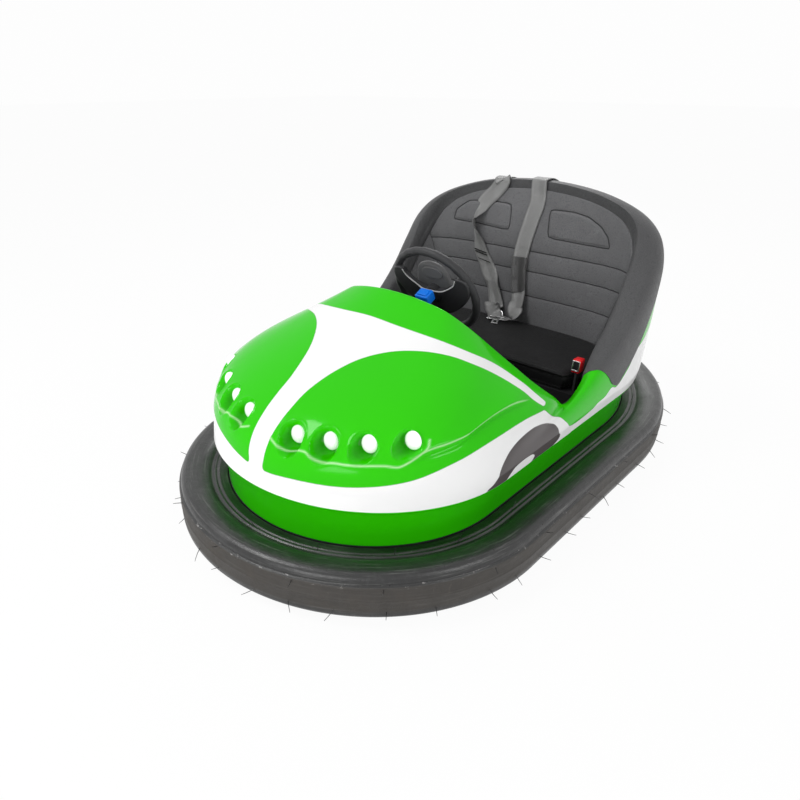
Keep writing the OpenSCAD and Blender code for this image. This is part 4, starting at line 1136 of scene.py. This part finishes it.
class BUMPERCAR_OT_seat(PieceOperator):
    """Makes the leather roll, the seat lining and the bench cushion"""

    bl_idname = "bumpercar.seat"
    bl_label = "Seat"

    def execute(self, context):
        values = context.scene.bumpercar_seat
        self.roll(leather_finish("grey_leather_cloth", values.leather))
        self.lining(leather_finish("sewn_leather_cloth", tint(values.leather, LINING_PALER),
                                   lines=("channels", "wing", "pockets")))
        self.cushion(leather_finish("black_cushion_cover", values.cushion, 0.34, 0.16, ("piping",)))
        return {"FINISHED"}

    def roll(self, leather):
        w = np.linspace(1.585, 6.415, 460)
        rows = roll_rows(w)
        normal, low_v = rim_normal(w), leather_v(w)
        low = rim_point(w) + down(w, roll_drop(w))
        edge, out = skin(w, low_v), skin_out(w, low_v)
        rows += [low + normal * 6, low + normal * (LINING_T + 4), edge - out * (SHELL_T + 4), edge - out * 2]
        piece = add_mesh("leather_rim_roll", np.stack(rows, 1), sleeve_faces(len(w), len(rows)), leather,
                         replaces=["rim_roll"], slot="seat_leather", edge=70)

    def lining(self, leather):
        w, h = np.meshgrid(np.linspace(1.84, 6.16, 500), np.linspace(0, 1, 178), indexing="ij")
        u = np.abs(station(w))
        h = h * np.interp(u, [2.45, 2.6, 2.85, 3.3, 4], [1, 1.03, 1.085, 1.085, 1.07])
        face = lining_face(w, h)
        x, z = face[..., 0], face[..., 2]
        wing = (u - np.interp(z, WING[:, 0], WING[:, 1])) * WING_SPAN
        steps = [z - level for level in CHANNELS]
        # The product of the three steps, scaled so that it counts millimetres near each channel
        turns = [CHANNELS[k:] + CHANNELS[:k] for k in range(3)]
        channels = steps[0] * steps[1] * steps[2] / np.interp(
            z, CHANNELS, [abs((a - b) * (a - c)) for a, b, c in turns])
        pockets = np.maximum(polygon_distance(x, z, rounded(POCKET_LEFT)),
                             polygon_distance(x, z, rounded(POCKET_RIGHT)))
        inner = smooth_step(wing, 0, 14)
        near = np.minimum.reduce([np.abs(one) for one in steps])
        relief = 3.0 * inner * (1 - np.exp(-near / 9)) + 2.5 * (1 - np.exp(-np.abs(wing) / 10))
        relief += 2.2 * smooth_step(pockets, 0, 10) - 1.2 * bell(pockets, 0, 5)
        relief += 0.7 * np.sin(x / 9 + 1.6 * np.sin(z / 31)) * np.exp(-near / 7) * inner
        outer = face - rim_normal(w) * relief[..., None]
        back = face + rim_normal(w) * np.minimum(LINING_T, 40 - 30 * h)[..., None]
        picks = sorted(set(np.linspace(0, h.shape[1] - 1, 8).astype(int)))
        points, faces = shell_parts(outer, back[:, picks], picks)
        values = {key: np.concatenate([a.ravel(), a[:, picks].ravel() * 0 + 50])
                  for key, a in (("channels", channels), ("wing", wing), ("pockets", pockets))}
        piece = add_mesh("seat_back_lining", points, [f[:, ::-1] for f in faces], leather, values=values,
                         replaces=["seat_lining"], slot="seat_leather", edge=0)

    def cushion(self, cover):
        foot = lining_foot(np.linspace(2.04, 5.96, 150))
        back = np.stack([foot[:, 0] * 0.985, foot[:, 1] - 6], -1)
        left = np.column_stack([np.linspace(back[0, 0], 352, 24), np.linspace(back[0, 1], 62, 24)])
        front = np.column_stack([np.linspace(-342, 342, 80), np.full(80, 48.0)])
        outline = np.concatenate([back, (left * [-1, 1])[1:], front, left[::-1][:-1]])
        centre = np.array([0, 205.0])
        rows = [(share, CUSHION_TOP + lift, 30.0) for share, lift in CUSHION_CROWN]
        rows += [(share, CUSHION_TOP - drop, mark) for drop, share, mark in CUSHION_SIDE]
        n = len(outline)
        rings = [np.column_stack([centre + (outline - centre) * share, np.full(n, z)])
                 for share, z, _ in rows]
        piping = np.concatenate([np.full(n, mark) for _, _, mark in rows])
        piece = add_mesh("bench_cushion", np.stack(rings), sleeve_faces(len(rings), n), cover,
                         values={"piping": piping}, replaces=["seat_cushion"], slot="cushion_black")


# The tongue lies on the cushion: its bar's middle, its turn to the side and its tilt
TONGUE_AT = (-44.0, 300.0, 367.0)
TONGUE_TURN = math.radians(20)
TONGUE_TILT = math.radians(10)
# Its strips, as middle and size: a slotted bar and a blade with a square hole
TONGUE_STRIPS = (((0, 8), (66, 6)), ((0, -8), (66, 7)), ((-29, 0), (8, 22)), ((29, 0), (8, 22)),
                 ((-8, -24), (6, 26)), ((8, -24), (6, 26)), ((0, -37), (22, 7)), ((0, -14), (22, 8)))


def on_tongue(points):
    p = np.asarray(points, float)
    y = p[..., 1] * math.cos(TONGUE_TILT) - p[..., 2] * math.sin(TONGUE_TILT)
    z = p[..., 1] * math.sin(TONGUE_TILT) + p[..., 2] * math.cos(TONGUE_TILT)
    c, d = math.cos(TONGUE_TURN), math.sin(TONGUE_TURN)
    return np.stack([TONGUE_AT[0] + p[..., 0] * c - y * d, TONGUE_AT[1] + p[..., 0] * d + y * c,
                     TONGUE_AT[2] + z], -1)


class BUMPERCAR_OT_belts(PieceOperator):
    """Makes the belts over the rim, their ring and tongue and the buckle"""

    bl_idname = "bumpercar.belts"
    bl_label = "Belts"

    def execute(self, context):
        webbing = webbing_finish("satin_webbing", context.scene.bumpercar_seat.webbing)
        steel = metal_finish("buckle_steel", (0.7, 0.7, 0.7), 0.22)
        self.strap("left_belt", LEFT_STRAP, LEFT_TAIL, 4.34, webbing, "belt_left")
        self.strap("right_belt", RIGHT_STRAP, RIGHT_TAIL, 3.99, webbing, "belt_right")
        self.bars()
        ring = [(-62 + 17 * math.cos(a), 338 + 8 * math.sin(a), 366 + 13 * math.sin(a))
                for a in np.linspace(0, 2 * math.pi, 32, endpoint=False)]
        add_mesh("belt_ring", *tube(ring, 2.2, 10, closed=True), steel, slot="bare_steel")
        tongue = [block_parts([*middle, 0], [*size, 3], 1.0, on_tongue) for middle, size in TONGUE_STRIPS]
        add_mesh("belt_tongue_plate", *join_parts(tongue), steel, replaces=["belt_tongue"],
                 slot="bare_steel", edge=40)
        self.buckle(steel)
        return {"FINISHED"}

    def strap(self, name, rows, tail, crest_w, webbing, node):
        """A belt from behind the rim, over its crest, down the lining and along its tail."""
        rows, tail = np.array(rows, float), np.array(tail, float)
        over = np.stack(roll_rows(np.array([crest_w])))[12:33, 0]
        side = np.tile([1.0, 0, 0], (len(over), 1))
        over = over + np.cross(unit(np.gradient(over, axis=0)), side) * STRAP_LIFT
        on_seat = on_lining(rows[:, 0], rows[:, 1], rows[:, 3:] + 5)
        turns = np.radians(rows[:, 2])
        turned = np.stack([np.cos(turns), -np.sin(turns), 0 * turns], -1)
        count = 150
        centre = spline(np.concatenate([over[::3], on_seat, tail[:, :3]]), count)
        across = spline(np.concatenate([side[::3], turned, tail[:, 3:]]), count)
        width = STRAP_WIDE - (STRAP_WIDE - STRAP_END) * smooth_step(np.arange(count) / count, 0.86, 0.99)
        self.ribbon(name, centre, across, width, STRAP_THICK, webbing, [node])

    def ribbon(self, name, centre, across, width, thick, webbing, replaces=()):
        points, faces, run, side = ribbon_parts(centre, across, width, thick)
        add_mesh(name, points, faces, webbing, values={"run": run, "side": side}, replaces=replaces,
                 slot="belt_webbing", edge=60)

    def bars(self):
        """The doubled length of the right belt and the stitched bars on the left one."""
        w, h = np.array([(4.06, 0.6), (4.053, 0.5), (4.04, 0.42), (4.02, 0.34)]).T
        self.ribbon("doubled_webbing", spline(on_lining(w, h, 15), 30), np.tile([1.0, 0, 0], (30, 1)),
                    STRAP_WIDE + 1, 3.4, webbing_finish("dark_webbing", (0.012, 0.012, 0.012)))
        parts = []
        for h, radius in ((0.618, 1.8), (0.6, 1.8), (0.545, 1.0)):
            w = np.interp(h, [0.52, 0.6, 0.68], [4.42, 4.49, 4.54])
            at = on_lining(np.array([w]), np.array([h]), 13.2)
            parts.append(tube(spline(at + [[-25, 0, 4], [0, -0.8, 0], [25, 0, -4]], 12), radius, 8))
        thread = moulded_plastic("black_thread", (0.006, 0.006, 0.006), 0.5)
        add_mesh("belt_stitches", *join_parts(parts), thread, slot="belt_webbing")

    def buckle(self, steel):
        low, high = (np.array(corner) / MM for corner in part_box("belt_buckle"))
        centre, size = (low + high) / 2, high - low
        red = moulded_plastic("red_buckle_shell", (0.62, 0.008, 0.012), 0.22)
        add_mesh("buckle_body", *join_parts([
            block_parts(centre, size * [0.92, 0.84, 0.98], 4.0),
            block_parts(centre + [0, 0, size[2] * 0.32], size * [0.7, 0.6, 0.4], 3.0)]), red,
            replaces=["belt_buckle"], slot="buckle_red", edge=40)
        front = low[1] + size[1] * 0.08
        wide, tall = size[0], size[2]
        strips = ((0, 0.38 * tall, 0.84 * wide, 4), (0, -0.3 * tall, 0.84 * wide, 4),
                  (-0.36 * wide, 0.04 * tall, 4, 0.7 * tall), (0.36 * wide, 0.04 * tall, 4, 0.7 * tall))
        add_mesh("buckle_frame", *join_parts([
            block_parts([centre[0] + x, front - 1, centre[2] + z], [a, 3, b], 1.0) for x, z, a, b in strips]),
            steel, slot="bare_steel", edge=40)
        dark = moulded_plastic("buckle_mouth", (0.008, 0.008, 0.009), 0.4)
        add_mesh("buckle_mouth", *block_parts([centre[0], front - 0.2, centre[2] + 0.04 * tall],
                                              [0.66 * wide, 2.4, 0.6 * tall], 0.8), dark,
                 slot="inner_black", edge=40)


# The steering column: its parts are drawn with the wheel's middle as origin and its axis as z
WHEEL_AT = (0.0, -132.0, 569.0)
COLUMN_LEAN = math.radians(62.5)
WHEEL_R = 148.0
GRIP_R = 11.5
WEB = [(-124, -66), (-96, -72), (-86, -52), (-44, -20), (44, -20), (86, -52), (96, -72), (124, -66),
       (130, -30), (108, 12), (70, 48), (34, 66), (-34, 66), (-70, 48), (-108, 12), (-130, -30)]
EDGE_LINE = [(-92, -68, -17), (-80, -46, -17), (-46, -22, -18), (-28, -19.5, -23.5), (0, -19, -24),
             (28, -19.5, -23.5), (46, -22, -18), (80, -46, -17), (92, -68, -17)]
PAD = [(-62, 30), (62, 30), (66, 14), (56, -40), (40, -82), (0, -96), (-40, -82), (-56, -40), (-66, 14)]


def on_column(points):
    p = np.asarray(points, float)
    c, d = math.cos(COLUMN_LEAN), math.sin(COLUMN_LEAN)
    return np.stack([p[..., 0] + WHEEL_AT[0], WHEEL_AT[1] + p[..., 1] * c + p[..., 2] * d,
                     WHEEL_AT[2] - p[..., 1] * d + p[..., 2] * c], -1)


class BUMPERCAR_OT_steering(PieceOperator):
    """Makes the steering wheel, its pad and the switch box on the column"""

    bl_idname = "bumpercar.steering"
    bl_label = "Steering"

    def execute(self, context):
        grip = moulded_plastic("moulded_grip", (0.035, 0.035, 0.037), 0.36)
        a = np.linspace(0, 2 * math.pi, 120, endpoint=False)
        reach = WHEEL_R - GRIP_R - 1.5
        circle = np.stack([reach * np.cos(a), reach * np.sin(a), 0 * a], -1)
        rim_points, rim_faces = tube(circle, GRIP_R + 0.5 * np.cos(a * 24), 20, closed=True)
        web = plate_parts(spline(WEB, 96, closed=True), -17, -4, 3.0, on_column)
        hub_points, hub_faces = lathe([(0, -22), (22, -21.7), (25.5, -19), (26, -2), (24, 1.5), (0, 2)], 40)
        self.piece("steering_wheel_form", join_parts([(on_column(rim_points), rim_faces), web,
                                                      (on_column(hub_points), hub_faces)]), grip,
                   ["steering_wheel"])
        oval = [(36 * math.cos(t) + 6, 20 * math.sin(t) - 66)
                for t in np.linspace(0, 2 * math.pi, 40, endpoint=False)]
        pad = plate_parts(spline(PAD, 72, closed=True), -2, 14, 5.0, on_column)
        self.piece("wheel_pad_cover", join_parts([pad, plate_parts(oval, -5, 0, 2.0, on_column)]),
                   moulded_plastic("wheel_pad_cover", (0.12, 0.12, 0.122), 0.3), ["wheel_pad"])
        self.piece("web_edge_line", tube(on_column(spline(EDGE_LINE, 60)), 1.9, 8),
                   moulded_plastic("pale_edge_line", (0.5, 0.5, 0.5), 0.35), edge=35)
        blue = moulded_plastic("blue_switch_cover", (0.0, 0.17, 0.75), 0.28)
        add_mesh("switch_cover", *join_parts([
            block_parts([20, -38, -70], [44, 32, 36], 5.0, on_column),
            block_parts([20, -55, -70], [32, 4, 24], 1.6, on_column)]), blue, replaces=["switch_box"],
            slot="switch_blue", edge=40)
        return {"FINISHED"}

    def piece(self, name, parts, material, replaces=(), edge=45):
        add_mesh(name, *parts, material, body="steering", replaces=replaces, slot="wheel_grip", edge=edge)


class BUMPERCAR_OT_frame(PieceOperator):
    """Gives the carried-over pieces their finishes"""

    bl_idname = "bumpercar.frame"
    bl_label = "Frame finishes"

    def execute(self, context):
        finishes = {
            "frame_steel": painted_steel("black_frame_paint", (0.022, 0.022, 0.024)),
            "bare_steel": metal_finish("turned_steel", (0.56, 0.56, 0.55)),
            "inner_black": moulded_plastic("black_liner", (0.012, 0.012, 0.013), 0.5),
            "motor_grey": painted_steel("motor_paint", (0.10, 0.11, 0.12)),
            "wheel_rubber": rubber_finish("road_wheel_rubber", (0.02, 0.02, 0.02)),
            "wheel_grip": moulded_plastic("wheel_grip", (0.017, 0.017, 0.018), 0.38),
            "switch_blue": moulded_plastic("blue_switch_plastic", (0.0, 0.16, 0.72), 0.3),
            "battery_case": moulded_plastic("battery_plastic", (0.03, 0.03, 0.034), 0.5),
            "belt_webbing": moulded_plastic("black_webbing", (0.02, 0.02, 0.021), 0.6),
            "buckle_red": moulded_plastic("red_button_plastic", (0.72, 0.012, 0.012), 0.25),
        }
        slots = {row["node"]: row["material_slot"] for row in frame["record"]["subparts"]}
        for name, node in frame["nodes"].items():
            finish = finishes.get(slots.get(name))
            if finish is None or node.hide_render:
                continue
            node.data.materials.clear()
            node.data.materials.append(finish)
        return {"FINISHED"}


# Camera fitted to the photo, and the lights: name, place, size, share of the key's power and aim
CAMERA_AT = Vector((1.07905, -1.63268, 1.11395))
CAMERA_AIM = Vector((0.07744, -0.57128, 0.3))
CAMERA_SHIFT = (0.0605, 0.0422)
FLOOR_REACH = 30.0
LIGHTS = (("key", (-1.4, -2.2, 3.4), 1.5, 1.0, (0, -0.1, 0.3)),
          ("side", (3.4, -0.4, 2.2), 1.2, 0.4, (0, 0, 0.3)),
          ("back", (-1.5, 3.2, 3.0), 1.2, 0.5, (0, 0.2, 0.4)),
          ("front", (0.9, -3.4, 0.9), 1.4, 0.4, (0, -0.4, 0.2)))


class BUMPERCAR_OT_stage(PieceOperator):
    """Makes the floor, the light and the camera"""

    bl_idname = "bumpercar.stage"
    bl_label = "Stage"

    def execute(self, context):
        scene = context.scene
        values = scene.bumpercar_stage
        scene.view_settings.view_transform = "Standard"
        self.camera(scene, values)
        self.floor(values)
        self.world(scene)
        for name, place, size, share, target in LIGHTS:
            self.lamp(name, place, size, values.key_power * share, target)
        return {"FINISHED"}

    def camera(self, scene, values):
        data = bpy.data.cameras.new("photo_camera")
        data.lens = values.lens
        data.sensor_width = 36.0
        data.shift_x, data.shift_y = CAMERA_SHIFT
        data.clip_end = 60.0
        camera = bpy.data.objects.new("photo_camera", data)
        camera.location = CAMERA_AT
        camera.rotation_euler = (CAMERA_AIM - CAMERA_AT).to_track_quat("-Z", "Y").to_euler()
        scene.collection.objects.link(camera)
        scene.camera = camera

    def floor(self, values):
        ground = Finish("pale_floor", values.floor, 0.6)
        seen = Shade(ground, seen_rays(ground.tree))
        white = ground.node("ShaderNodeEmission", {}, {"Color": (1, 1, 1), "Strength": 1.0})
        catch = ground.node("ShaderNodeMixShader", {}, {0: seen * 0.95, 2: white,
                                                        1: Shade(ground, ground.shader.outputs[0])})
        ground.put(ground.tree.nodes["Material Output"].inputs["Surface"], catch)
        mesh = bpy.data.meshes.new("floor")
        corners = [(-1, -1), (1, -1), (1, 1), (-1, 1)]
        mesh.from_pydata([(x * FLOOR_REACH, y * FLOOR_REACH, 0) for x, y in corners], [], [(0, 1, 2, 3)])
        floor = bpy.data.objects.new("floor", mesh)
        mesh.materials.append(ground.material)
        bpy.context.scene.collection.objects.link(floor)

    def world(self, scene):
        world = bpy.data.worlds.new("studio")
        world.use_nodes = True
        scene.world = world
        nodes, links = world.node_tree.nodes, world.node_tree.links
        sky, plain = nodes["Background"], nodes.new("ShaderNodeBackground")
        for background, strength in ((sky, 0.42), (plain, 0.985)):
            background.inputs["Color"].default_value = (1, 1, 1, 1)
            background.inputs["Strength"].default_value = strength
        mixed = nodes.new("ShaderNodeMixShader")
        links.new(seen_rays(world.node_tree), mixed.inputs[0])
        links.new(sky.outputs[0], mixed.inputs[1])
        links.new(plain.outputs[0], mixed.inputs[2])
        links.new(mixed.outputs[0], nodes["World Output"].inputs["Surface"])

    def lamp(self, name, place, size, power, target):
        data = bpy.data.lights.new(name, "AREA")
        data.shape = "RECTANGLE"
        data.size = size
        data.size_y = size * 0.7
        data.energy = power
        lamp = bpy.data.objects.new(name, data)
        lamp.location = place
        lamp.rotation_euler = (Vector(target) - Vector(place)).to_track_quat("-Z", "Y").to_euler()
        bpy.context.scene.collection.objects.link(lamp)


class BUMPERCAR_PT_panel(bpy.types.Panel):
    """Lists the steps that build the car"""

    bl_idname = "BUMPERCAR_PT_panel"
    bl_label = "Bumper car"
    bl_space_type = "VIEW_3D"
    bl_region_type = "UI"
    bl_category = "Bumper car"

    def draw(self, context):
        for step in STEPS:
            self.layout.operator(step.bl_idname)
        for key in GROUPS:
            group = getattr(context.scene, key)
            box = self.layout.box()
            for name in group.bl_rna.properties.keys():
                if name not in {"rna_type", "name"}:
                    box.prop(group, name)


STEPS = (BUMPERCAR_OT_stage, BUMPERCAR_OT_body, BUMPERCAR_OT_lamps, BUMPERCAR_OT_tyre, BUMPERCAR_OT_seat,
         BUMPERCAR_OT_belts, BUMPERCAR_OT_steering, BUMPERCAR_OT_frame)
GROUPS = {"bumpercar_body": BodyValues, "bumpercar_tyre": TyreValues, "bumpercar_seat": SeatValues,
          "bumpercar_stage": StageValues}
CLASSES = (*GROUPS.values(), *STEPS, BUMPERCAR_PT_panel)


def register():
    for one in CLASSES:
        bpy.utils.register_class(one)
    for key, group in GROUPS.items():
        setattr(bpy.types.Scene, key, bpy.props.PointerProperty(type=group))


def unregister():
    for key in GROUPS:
        delattr(bpy.types.Scene, key)
    for one in reversed(CLASSES):
        bpy.utils.unregister_class(one)


def main():
    register()
    for step in STEPS:
        group, name = step.bl_idname.split(".")
        getattr(getattr(bpy.ops, group), name)()


if __name__ == "__main__":
    main()
